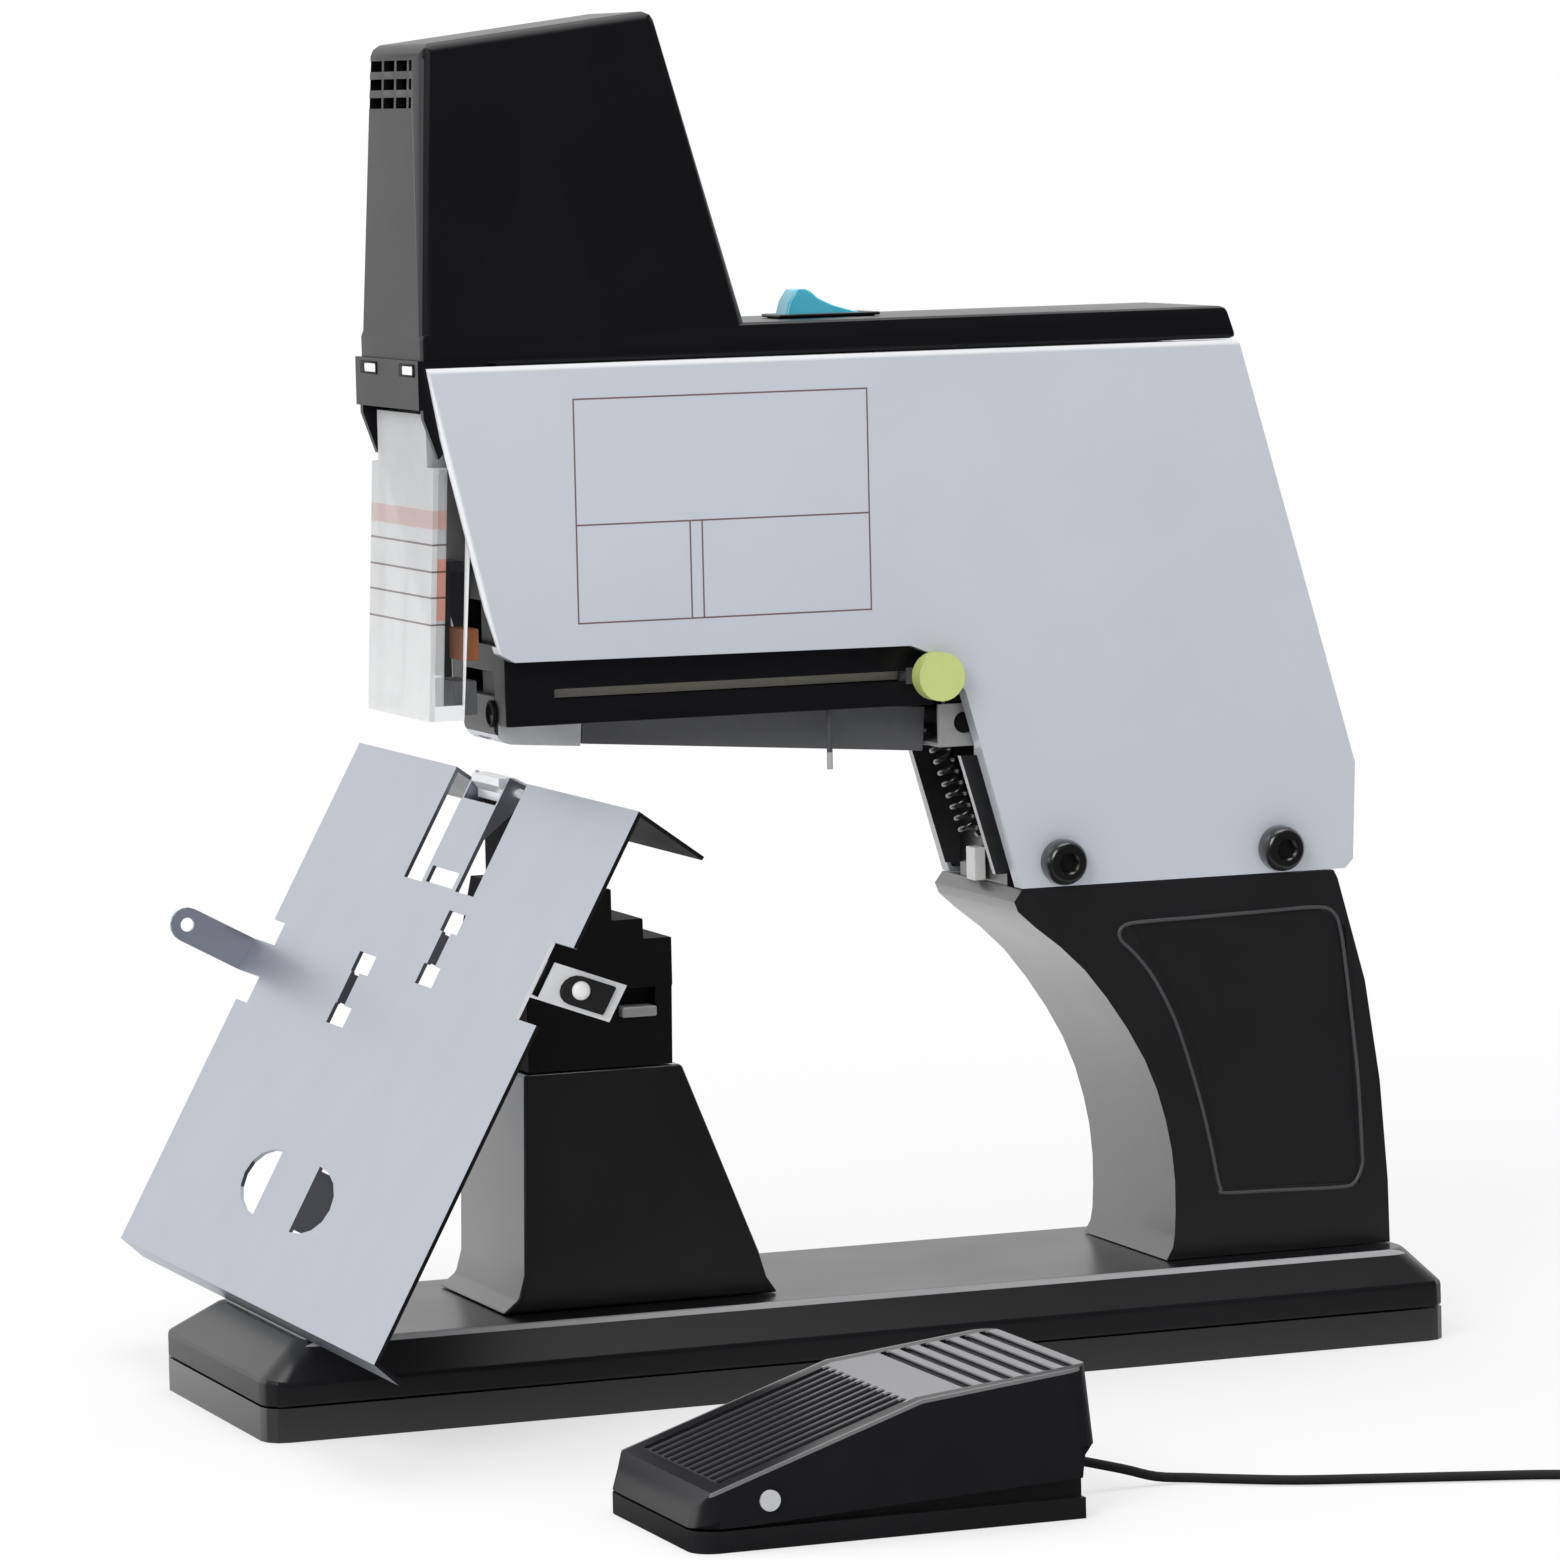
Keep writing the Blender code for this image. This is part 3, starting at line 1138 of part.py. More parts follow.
def rear_cover():
    inner = HALF_HEAD - COVER_LIP - CLEARANCE
    bend_z = HEAD_BOTTOM + REAR_BEND_RISE
    top, bottom = HEAD_TOP - COVER_SHEET, HEAD_BOTTOM + COVER_SHEET
    line = ((REAR_Y[1], top), (REAR_Y[0], bend_z), (REAR_Y[0], bottom))
    cover = slab("rear_cover", strip(line, REAR_SHEET), (-inner, inner))
    inlet_z = tuple(HEAD_BOTTOM + rise for rise in INLET_RISE)
    hole = box(
        "inlet_hole",
        (INLET_X[0] - CLEARANCE, INLET_X[1] + CLEARANCE),
        (REAR_Y[0] - REAR_SHEET - OVERRUN, REAR_Y[0] + OVERRUN),
        (inlet_z[0] - CLEARANCE, inlet_z[1] + CLEARANCE),
    )
    jack_z = HEAD_BOTTOM + JACK_RISE
    jack_hole = rod(
        "jack_hole",
        (JACK_X, REAR_Y[0] - REAR_SHEET - OVERRUN, jack_z),
        (JACK_X, REAR_Y[0] + OVERRUN, jack_z),
        JACK_RADIUS + CLEARANCE,
    )
    cut(cover, hole, jack_hole)
    paint(cover, GREY_PANEL)

    outside = REAR_Y[0] + CLEARANCE
    inlet = box("inlet", INLET_X, (outside - INLET_DEPTH, outside + INLET_FLANGE / 2), inlet_z)
    flange_x = (INLET_X[0] - INLET_FLANGE, INLET_X[1] + INLET_FLANGE)
    flange_z = (inlet_z[0] - INLET_FLANGE, inlet_z[1] + INLET_FLANGE)
    join(inlet, box("inlet_flange", flange_x, (outside, outside + INLET_FLANGE), flange_z))
    cavity_x = (INLET_X[0] + INLET_WALL, INLET_X[1] - INLET_WALL)
    cavity_z = (inlet_z[0] + INLET_WALL, inlet_z[1] - INLET_WALL)
    cavity_y = (outside - INLET_DEPTH + INLET_WALL, outside + INLET_FLANGE + OVERRUN)
    cut(inlet, box("inlet_cavity", cavity_x, cavity_y, cavity_z))
    paint(inlet, SATIN_BLACK)

    flange_profile = [
        (JACK_BORE, INLET_FLANGE), (JACK_FLANGE_RADIUS, INLET_FLANGE), (JACK_FLANGE_RADIUS, 0),
        (JACK_RADIUS, 0), (JACK_RADIUS, -JACK_DEPTH), (0, -JACK_DEPTH),
    ]
    bore = [(0, OVERRUN - JACK_DEPTH), (JACK_BORE, OVERRUN - JACK_DEPTH)]
    placement = Matrix.Translation((JACK_X, outside, jack_z)) @ Matrix.Rotation(-math.pi / 2, 4, "X")
    paint(turned("pedal_socket", bore + flange_profile, placement), SATIN_BLACK)


def frame_plates():
    """Two steel plates that carry the drive and the magazine's pivot."""
    arm_top = ARM_COVER_TOP + CLEARANCE
    chin, top, step, deck, rear_z, foot, edge = (
        HEAD_BOTTOM + rise
        for rise in (
            PLATE_CHIN_RISE, PLATE_TOP_RISE, PLATE_STEP_RISE, PLATE_DECK_RISE,
            PLATE_REAR_RISE, PLATE_FOOT_RISE, PLATE_EDGE_RISE,
        )
    )
    lug_front = PIVOT[0] - LUG_RADIUS
    outline = [
        (PLATE_ARM_Y, arm_top), (PLATE_FRONT, chin), (PLATE_FRONT, top), (PLATE_MOTOR_REAR, top),
        (PLATE_MOTOR_REAR, step), (PLATE_DECK_Y[0], deck), (PLATE_DECK_Y[1], deck),
        (PLATE_REAR, rear_z), (PLATE_REAR, foot), (PLATE_FOOT_Y, foot), (PLATE_EDGE_Y[0], foot),
        (PLATE_EDGE_Y[1], edge), (LUG_NOTCH_Y, edge), (LUG_NOTCH_Y, PIVOT[1] - LUG_RADIUS),
        *arc(PIVOT, LUG_RADIUS, -90, -180, 6), (lug_front, arm_top),
    ]
    holes = [
        circle((CRANK_Y, CRANK_Z), SHAFT_RADIUS + SHAFT_FIT),
        circle(PIVOT, PIVOT_RADIUS + PIVOT_FIT),
        *(circle((y, CAP_Z), CAP_STEM_RADIUS + CLEARANCE, SMALL_SIDES) for y in CAP_Y),
    ]
    shaft_hole = circle((CRANK_Y, MOTOR_Z), MOTOR_SHAFT_RADIUS + SHAFT_FIT, SMALL_SIDES)
    right = slab("frame_plate_right", outline, (PLATE_INNER, PLATE_OUTER), (*holes, shaft_hole))
    left = slab("frame_plate_left", outline, (-PLATE_OUTER, -PLATE_INNER), holes)
    paint(right, ZINC)
    paint(left, ZINC)


# Drive

def gear_outline(teeth, first_angle):
    """Involute teeth with a thinned flank, about the origin; the first tooth is at the given angle."""
    pitch = GEAR_MODULE * teeth / 2
    base_radius = pitch * math.cos(PRESSURE_ANGLE)
    root = pitch - DEDENDUM_SHARE * GEAR_MODULE
    tip = pitch + ADDENDUM_SHARE * GEAR_MODULE
    half_tooth = math.pi / (2 * teeth) - BACKLASH / (4 * pitch)

    def half_angle(radius):
        pressure = math.acos(min(1, base_radius / radius))
        roll = math.tan(pressure) - pressure
        return half_tooth + math.tan(PRESSURE_ANGLE) - PRESSURE_ANGLE - roll

    flank = [(radius, half_angle(radius)) for radius in (root, pitch, tip)]
    tooth = [(radius, -angle) for radius, angle in flank] + flank[::-1]
    points = []
    for index in range(teeth):
        centre = math.radians(first_angle) + 2 * math.pi * index / teeth
        for radius, angle in tooth:
            points.append((radius * math.cos(centre + angle), radius * math.sin(centre + angle)))
    return points


def moved(points, centre):
    return [(centre[0] + a, centre[1] + b) for a, b in points]


def drive():
    crank_place, motor_place = (CRANK_Y, CRANK_Z), (CRANK_Y, MOTOR_Z)
    shaft_bore = circle(crank_place, SHAFT_RADIUS + SHAFT_FIT)
    gear = slab("drive_gear", moved(gear_outline(GEAR_TEETH, 90), crank_place), GEAR_X, (shaft_bore,))
    half_pitch = 180 / PINION_TEETH
    pinion = slab("motor_pinion", moved(gear_outline(PINION_TEETH, half_pitch), motor_place), GEAR_X)
    motor_end = PLATE_INNER - CLEARANCE
    motor_shaft = (motor_end - MOTOR_BORE_DEPTH + CLEARANCE, GEAR_X[0] + CLEARANCE)
    join(pinion, cross_rod("motor_shaft", motor_shaft, motor_place, MOTOR_SHAFT_RADIUS, SMALL_SIDES))

    motor = cross_rod("motor", (motor_end - MOTOR_LENGTH, motor_end), motor_place, MOTOR_RADIUS)
    bore = (motor_end - MOTOR_BORE_DEPTH, motor_end + OVERRUN)
    cut(motor, cross_rod("motor_bore", bore, motor_place, MOTOR_SHAFT_RADIUS + SHAFT_FIT, SMALL_SIDES))

    left_journal = (-PLATE_OUTER - OVERRUN, -WEB_X[0] - CLEARANCE)
    pin_x, pin_place = (-WEB_X[1] + CLEARANCE, WEB_X[1] - CLEARANCE), (CRANK_Y, CRANK_PIN_Z)
    crank = cross_rod("crankshaft", (WEB_X[0], GEAR_X[1]), crank_place, SHAFT_RADIUS)
    join(
        crank,
        cross_rod("crank_web_right", WEB_X, crank_place, WEB_RADIUS),
        cross_rod("crank_web_left", (-WEB_X[1], -WEB_X[0]), crank_place, WEB_RADIUS),
        cross_rod("crank_left_journal", left_journal, crank_place, SHAFT_RADIUS),
        cross_rod("crank_pin", pin_x, pin_place, CRANK_PIN_RADIUS),
    )
    paint(gear, DARK_STEEL)
    paint(pinion, BRIGHT_STEEL)
    paint(motor, ZINC)
    paint(crank, BRIGHT_STEEL)
    carry(pivot("crank_axis", (0, *crank_place)), gear, crank)
    carry(pivot("motor_axis", (0, *motor_place)), pinion)


def ram():
    """A slotted yoke on the crank pin, with a stem and the driver blade below it."""
    half = YOKE_THICKNESS / 2
    slot_z = (CRANK_PIN_Z - YOKE_SLOT_HEIGHT / 2, CRANK_PIN_Z + YOKE_SLOT_HEIGHT / 2)
    yoke_z = (slot_z[0] - YOKE_RAIL, slot_z[1] + YOKE_RAIL)
    slot = rectangle(YOKE_SLOT_Y, slot_z)
    yoke = slab("ram", rectangle(YOKE_Y, yoke_z), (-half, half), (slot,))
    blade_y = (STEM_Y[0] + STEM_Y[1]) / 2
    join(
        yoke,
        box("ram_neck", (-half, half), STEM_Y, (STEM_TOP - OVERRUN, yoke_z[0] + OVERRUN)),
        box("ram_stem", (-STEM_WIDTH / 2, STEM_WIDTH / 2), STEM_Y, (STEM_BOTTOM, STEM_TOP)),
        box(
            "driver_blade",
            (-BLADE_WIDTH / 2, BLADE_WIDTH / 2),
            (blade_y - BLADE_THICKNESS / 2, blade_y + BLADE_THICKNESS / 2),
            (STEM_BOTTOM - BLADE_LENGTH, STEM_BOTTOM + OVERRUN),
        ),
    )
    paint(yoke, DARK_STEEL)


def head_front():
    half = PLATE_INNER - CLEARANCE
    face = PLATE_FRONT
    low, high = (HEAD_BOTTOM + rise for rise in BRACKET_RISE)
    bracket = box("head_bracket", (-half, half), (face, face + BRACKET_THICKNESS), (low, high))
    bar_y = span(BRACKET_BAR_FRONT, BRACKET_BAR_THICKNESS)
    foot_y = (BRACKET_BAR_FRONT, face + BRACKET_THICKNESS / 2)
    bar_bottom = low - BRACKET_BAR_DROP
    join(
        bracket,
        box("bracket_foot", (0, BRACKET_BAR_WIDTH), foot_y, span(low, BRACKET_FOOT_HEIGHT)),
        box("bracket_bar", (0, BRACKET_BAR_WIDTH), bar_y, (bar_bottom, low + BRACKET_FOOT_HEIGHT / 2)),
    )
    bronze_x = span(BRACKET_BAR_WIDTH + CLEARANCE, BRONZE_WIDTH)
    bronze_z = tuple(HEAD_BOTTOM + rise for rise in BRONZE_RISE)
    bronze = box("bronze_block", bronze_x, BRONZE_Y, bronze_z)
    block_top = bar_bottom - CLEARANCE
    block = box("head_block", BLOCK_X, HEAD_BLOCK_Y, (block_top - HEAD_BLOCK_HEIGHT, block_top))
    paint(bracket, DARK_STEEL)
    paint(bronze, COPPER_BROWN)
    paint(block, ZINC)


def guard():
    y = span(GUARD_FRONT, GUARD_DEPTH)
    outline = spread(GUARD_SHARES, y, (GUARD_BOTTOM, GUARD_TOP))
    front_edge = len(outline) - 1
    walls = [-OVERRUN] * len(outline)
    walls[front_edge] = GUARD_WALL
    half = GUARD_WIDTH / 2
    shield = slab("guard", outline, (-half, half))
    inside = half - GUARD_WALL
    cut(shield, slab("guard_hollow", offset(outline, walls), (-inside, inside)))

    box_front = GUARD_FRONT + GUARD_DEPTH * GUARD_FRONT_SHARE
    box_y = span(box_front, GUARD_BOX_DEPTH)
    box_z = (GUARD_TOP - GUARD_WALL, GUARD_TOP + GUARD_BOX_HEIGHT)
    box_half = GUARD_BOX_WIDTH / 2
    hood = box("guard_box", (-box_half, box_half), box_y, box_z)
    hollow_half = box_half - GUARD_WALL
    hollow = box(
        "guard_box_hollow",
        (-hollow_half, hollow_half),
        (box_front + GUARD_WALL, box_y[1] + OVERRUN),
        (box_z[0] - OVERRUN, box_z[1] - GUARD_WALL),
    )
    cut(hood, hollow)
    join(shield, hood)
    pin_half = GUARD_PIN_LENGTH / 2
    bore = (-box_half - OVERRUN, box_half + OVERRUN)
    cut(shield, cross_rod("guard_bore", bore, GUARD_PIVOT, GUARD_PIN_RADIUS + CLEARANCE, SMALL_SIDES))
    pin = cross_rod("guard_pin", (-pin_half, pin_half), GUARD_PIVOT, GUARD_PIN_RADIUS, SMALL_SIDES)
    paint(shield, CLEAR_PLASTIC)
    paint(pin, BRIGHT_STEEL)
    carry(pivot("guard_pivot", (0, *GUARD_PIVOT)), shield)


# Lower arm and margin gauge

def lower_arm():
    side, inside = ARM_COVER_SIDE, ARM_COVER_INSIDE
    wall = ARM_COVER_WALL
    arm = box("lower_arm", (-side, side), ARM_COVER_Y, (ARM_COVER_BOTTOM, ARM_COVER_TOP))
    front = ARM_COVER_Y[0]
    rear = ARM_COVER_Y[1] + OVERRUN
    mouth_z = (ARM_COVER_BOTTOM - OVERRUN, ARM_COVER_BOTTOM + ARM_COVER_MOUTH_HEIGHT)
    mouth_half = MAGAZINE_WIDTH / 2 + RUNNING_GAP
    hollow_z = (ARM_COVER_BOTTOM - OVERRUN, ARM_COVER_TOP - wall)
    cut(
        arm,
        box("arm_hollow", (-inside, inside), (front + wall, rear), hollow_z),
        box(
            "ram_hole", ARM_COVER_HOLE_X, span(front + wall, ARM_COVER_HOLE_LENGTH),
            (ARM_COVER_TOP - wall - OVERRUN, ARM_COVER_TOP + OVERRUN),
        ),
        box("groove", (inside - OVERRUN, side + OVERRUN), (GROOVE_FRONT, rear), GROOVE_Z),
        box("arm_mouth", (-mouth_half, mouth_half), (front - OVERRUN, front + wall + OVERRUN), mouth_z),
    )
    paint(arm, SATIN_BLACK)


def margin_gauge():
    rail_x = (SLIDER_INNER - CLEARANCE - RAIL_WIDTH, SLIDER_INNER - CLEARANCE)
    rail_y = (ARM_COVER_Y[0] + ARM_COVER_WALL + CLEARANCE, RAIL_END)
    rail = box("margin_rail", rail_x, rail_y, GROOVE_Z)

    slider_z = span(GROOVE_Z[0] - SLIDER_DROP, SLIDER_HEIGHT)
    slider = box("margin_slider", (SLIDER_INNER, SLIDER_OUTER), SLIDER_Y, slider_z)
    strip_x = span(SLIDER_INNER, STRIP_THICKNESS)
    strip_z = span(ARM_COVER_BOTTOM + CLEARANCE, STRIP_HEIGHT)
    stop_y = SLIDER_Y[0] - STRIP_LENGTH + STOP_INSET
    stop_x = SLIDER_INNER + STRIP_THICKNESS / 2
    tab_z = (GROOVE_Z[0] + CLEARANCE, GROOVE_Z[1] - CLEARANCE)
    outside = ARM_COVER_SIDE + CLEARANCE
    plate_z = (sum(GROOVE_Z) / 2 - TAB_HEIGHT / 2, sum(GROOVE_Z) / 2 + TAB_HEIGHT / 2)
    stop_top = (stop_x, stop_y, strip_z[0] + OVERRUN)
    stop_tip = (stop_x, stop_y, strip_z[0] - STOP_DROP)
    join(
        slider,
        box("gauge_strip", strip_x, (SLIDER_Y[0] - STRIP_LENGTH, SLIDER_Y[0] + OVERRUN), strip_z),
        rod("paper_stop", stop_tip, stop_top, STOP_RADIUS, SMALL_SIDES),
        box("tab_neck", (SLIDER_OUTER - OVERRUN, outside + TAB_THICKNESS / 2), TAB_Y, tab_z),
        box("tab_plate", span(outside, TAB_THICKNESS), TAB_Y, plate_z),
    )
    knob_place = (KNOB_Y, KNOB_Z)
    stem = (SLIDER_INNER + CLEARANCE, outside + CLEARANCE)
    bore = (SLIDER_INNER - OVERRUN, SLIDER_OUTER + OVERRUN)
    cut(slider, cross_rod("knob_bore", bore, knob_place, KNOB_STEM_RADIUS + CLEARANCE, SMALL_SIDES))

    hub = span(outside, KNOB_HUB_LENGTH)
    knob = cross_rod("margin_knob", span(hub[1] - CLEARANCE, KNOB_THICKNESS), knob_place, KNOB_RADIUS)
    join(
        knob,
        cross_rod("knob_hub", hub, knob_place, KNOB_HUB_RADIUS),
        cross_rod("knob_stem", stem, knob_place, KNOB_STEM_RADIUS, SMALL_SIDES),
    )
    paint(rail, DARK_STEEL)
    paint(slider, SATIN_BLACK)
    paint(knob, KNOB_GREEN)
    gauge = pivot("margin_carriage", (0, SLIDER_Y[0], GROOVE_Z[0]))
    carry(gauge, slider)
    axis = pivot("knob_axis", (0, *knob_place))
    carry(axis, knob)
    axis.parent = gauge
    axis.matrix_parent_inverse = gauge.matrix_basis.inverted()


# Magazine

def from_pivot(points):
    """Turns (y, z) places in the level magazine into places about its pivot, nose up."""
    turn = Matrix.Rotation(-MAGAZINE_TILT, 2)
    return [tuple(turn @ Vector(point) + Vector(PIVOT)) for point in points]


def magazine():
    half = MAGAZINE_WIDTH / 2
    body_y = (MAGAZINE_START - MAGAZINE_LENGTH, MAGAZINE_START)
    floor = -MAGAZINE_FLOOR
    body_z = span(floor, MAGAZINE_HEIGHT)
    body = slab("magazine_body", from_pivot(rectangle(body_y, body_z)), (-half, half))
    channel_y = (body_y[0] - OVERRUN, body_y[1] - MAGAZINE_WALL)
    channel_z = (floor + MAGAZINE_WALL, body_z[1] + OVERRUN)
    inside = half - MAGAZINE_WALL
    cut(body, slab("staple_channel", from_pivot(rectangle(channel_y, channel_z)), (-inside, inside)))

    nose_y = (body_y[0] - CLEARANCE - NOSE_LENGTH, body_y[0] - CLEARANCE)
    nose_z = (-NOSE_FLOOR, body_z[1])
    chin = arc((nose_y[0] + NOSE_CHIN, nose_z[0] + NOSE_CHIN), NOSE_CHIN, 180, 270, NOSE_CHIN_STEPS)
    outline = chin + [(nose_y[1], nose_z[0]), (nose_y[1], nose_z[1]), (nose_y[0], nose_z[1])]
    nose = slab("magazine_nose", from_pivot(outline), (-half, half))
    slot_y = (-NOSE_SLOT_FROM_PIVOT - NOSE_SLOT_LENGTH / 2, -NOSE_SLOT_FROM_PIVOT + NOSE_SLOT_LENGTH / 2)
    slot = from_pivot(rectangle(slot_y, (nose_z[0] - OVERRUN, nose_z[1] + OVERRUN)))
    cut(nose, slab("blade_slot", slot, (-NOSE_SLOT_WIDTH / 2, NOSE_SLOT_WIDTH / 2)))

    pusher_y = (-PUSHER_FROM_PIVOT - PUSHER_LENGTH, -PUSHER_FROM_PIVOT)
    pusher_z = span(floor + MAGAZINE_WALL + CLEARANCE, PUSHER_HEIGHT)
    pusher_half = inside - RUNNING_GAP
    pusher = slab("staple_pusher", from_pivot(rectangle(pusher_y, pusher_z)), (-pusher_half, pusher_half))
    paint(body, ZINC)
    paint(nose, BRIGHT_STEEL)
    paint(pusher, DARK_STEEL)
    tilt = Matrix.Rotation(-MAGAZINE_TILT, 4, "X")
    swing = pivot("magazine_pivot", (0, *PIVOT), tilt)
    carry(swing, body, nose, pusher, pivot_bracket())


def pivot_bracket():
    """Two cheeks on the pivot pin, with a cross flange that the return spring pushes."""
    outer = HINGE_CHEEK_X[1]
    y = span(PIVOT[0] + HINGE_CHEEK_FRONT, HINGE_CHEEK_LENGTH)
    bottom, top = PIVOT[1] + HINGE_CHEEK_BOTTOM, PIVOT[1] + HINGE_CHEEK_TOP
    bracket = box("pivot_bracket", (-outer, outer), y, span(bottom, HINGE_FLANGE))
    hole = circle(PIVOT, PIVOT_RADIUS + PIVOT_FIT)
    cheeks = []
    for side, name in ((1, "right"), (-1, "left")):
        x = sorted((side * HINGE_CHEEK_X[0], side * outer))
        cheeks.append(slab(f"hinge_cheek_{name}", rectangle(y, (bottom, top)), x, (hole,)))
    join(bracket, *cheeks)
    paint(bracket, ZINC)
    return bracket


def pivot_parts():
    end = HINGE_CHEEK_X[1] + PIVOT_END
    paint(cross_rod("pivot_pin", (-end, end), PIVOT, PIVOT_RADIUS), BRIGHT_STEEL)
    seat_z = span(COLUMN_TOP + CLEARANCE, SEAT_HEIGHT)
    paint(box("spring_seat", (-SEAT_WIDTH / 2, SEAT_WIDTH / 2), SEAT_Y, seat_z), WHITE_PLASTIC)

    top = Vector((0, SPRING_TOP[0], HEAD_BOTTOM + SPRING_TOP[1]))
    bottom = Vector((0, SPRING_BOTTOM[0], HEAD_BOTTOM + SPRING_BOTTOM[1]))
    axis = (bottom - top).normalized()
    side = Vector((1, 0, 0))
    other = axis.cross(side)
    wire_length = (bottom - top).length - 2 * SPRING_WIRE
    count = SPRING_CURLS * SPRING_POINTS
    points = []
    for index in range(count + 1):
        angle = 2 * math.pi * index / SPRING_POINTS
        place = top + axis * (SPRING_WIRE + wire_length * index / count)
        points.append(place + SPRING_RADIUS * (side * math.cos(angle) + other * math.sin(angle)))
    gap = least_gap(points, SPRING_POINTS // 2, SPRING_WIRE)
    print("return_spring least gap, m:", round(gap, 5))
    paint(tube("return_spring", points, SPRING_WIRE, 1), SATIN_BLACK)


# Switch and board

def switch():
    half = SWITCH_WIDTH / 2
    flange_half = SWITCH_FLANGE_WIDTH / 2
    flange_y = (SWITCH_Y[0] - SWITCH_FLANGE_MARGIN, SWITCH_Y[1] + SWITCH_FLANGE_MARGIN)
    flange_z = span(LID_TOP + CLEARANCE, SWITCH_FLANGE)
    housing_z = (LID_TOP - SWITCH_DEPTH, sum(flange_z) / 2)
    housing = box("switch_housing", (-half, half), SWITCH_Y, housing_z)
    join(housing, box("switch_flange", (-flange_half, flange_half), flange_y, flange_z))
    inside = half - SWITCH_WALL
    cavity_y = (SWITCH_Y[0] + SWITCH_WALL, SWITCH_Y[1] - SWITCH_WALL)
    cavity_z = (LID_TOP - SWITCH_DEPTH + SWITCH_FLOOR, LID_TOP + SWITCH_FLANGE + OVERRUN)
    cut(housing, box("switch_cavity", (-inside, inside), cavity_y, cavity_z))
    paint(housing, SATIN_BLACK)

    outline = spread(ROCKER_SHARES, span(ROCKER_FRONT, ROCKER_LENGTH), span(ROCKER_BOTTOM, ROCKER_HEIGHT))
    rocker = slab("rocker", outline, (-ROCKER_WIDTH / 2, ROCKER_WIDTH / 2))
    paint(rocker, ROCKER_CYAN)
    carry(pivot("rocker_pivot", (0, *ROCKER_PIVOT)), rocker)


def control_board():
    plate_face = -PLATE_INNER + CLEARANCE
    board_x = span(plate_face + BOARD_STUD_LENGTH, BOARD_THICKNESS)
    z = tuple(HEAD_BOTTOM + rise for rise in BOARD_RISE)
    board = box("control_board", board_x, BOARD_Y, z)
    for y in (BOARD_Y[0] + BOARD_STUD_INSET, BOARD_Y[1] - BOARD_STUD_INSET):
        for height in (z[0] + BOARD_STUD_INSET, z[1] - BOARD_STUD_INSET):
            name = f"board_stud_{len(board.modifiers)}"
            reach = (plate_face, board_x[0] + BOARD_THICKNESS / 2)
            join(board, cross_rod(name, reach, (y, height), BOARD_STUD_RADIUS, SMALL_SIDES))
    paint(board, BOARD_GREEN)


# Foot pedal and its cord

def pedal_base():
    rear = PEDAL_BASE_REAR
    base_y = (PEDAL_Y[0], rear)
    base_plate = box("pedal_base", PEDAL_X, base_y, (0, PEDAL_BASE_HEIGHT))
    inset = PEDAL_WALL + PEDAL_RIM_GAP + PEDAL_WALL
    rim_x = (PEDAL_X[0] + inset - PEDAL_WALL, PEDAL_X[1] - inset + PEDAL_WALL)
    rim_y = (RIVET_Y - RIVET_HEAD_RADIUS - PEDAL_WALL, rear)
    rim_top = PEDAL_BASE_HEIGHT + PEDAL_RIM_HEIGHT
    rim = box("pedal_rim", rim_x, rim_y, (PEDAL_BASE_HEIGHT - OVERRUN, rim_top))
    well = box(
        "pedal_well",
        (rim_x[0] + PEDAL_WALL, rim_x[1] - PEDAL_WALL),
        (rim_y[0] + PEDAL_WALL, rim_y[1] - PEDAL_WALL),
        (PEDAL_BASE_HEIGHT - OVERRUN - CLEARANCE, rim_top + OVERRUN),
    )
    cut(rim, well)
    join(base_plate, rim)
    reach = (PEDAL_X[0] - OVERRUN, PEDAL_X[1] + OVERRUN)
    rivet_place = (RIVET_Y, RIVET_Z)
    cut(base_plate, cross_rod("base_rivet_bore", reach, rivet_place, RIVET_RADIUS + CLEARANCE, SMALL_SIDES))
    exit_place = (CORD_X, rear, GROMMET_Z)
    hole_start = (CORD_X, rear - PEDAL_WALL - OVERRUN, GROMMET_Z)
    hole_end = (CORD_X, rear + OVERRUN, GROMMET_Z)
    cut(base_plate, rod("grommet_hole", hole_start, hole_end, CORD_RADIUS + CLEARANCE, SMALL_SIDES))
    paint(base_plate, SATIN_BLACK)

    start = Vector(exit_place) + Vector((0, CLEARANCE, 0))
    end = start + Vector((0, GROMMET_LENGTH, 0))
    grommet = rod("cord_grommet", start, end, GROMMET_RADIUS, SMALL_SIDES, CORD_RADIUS + CLEARANCE * 2)
    paint(grommet, RUBBER)
    return end


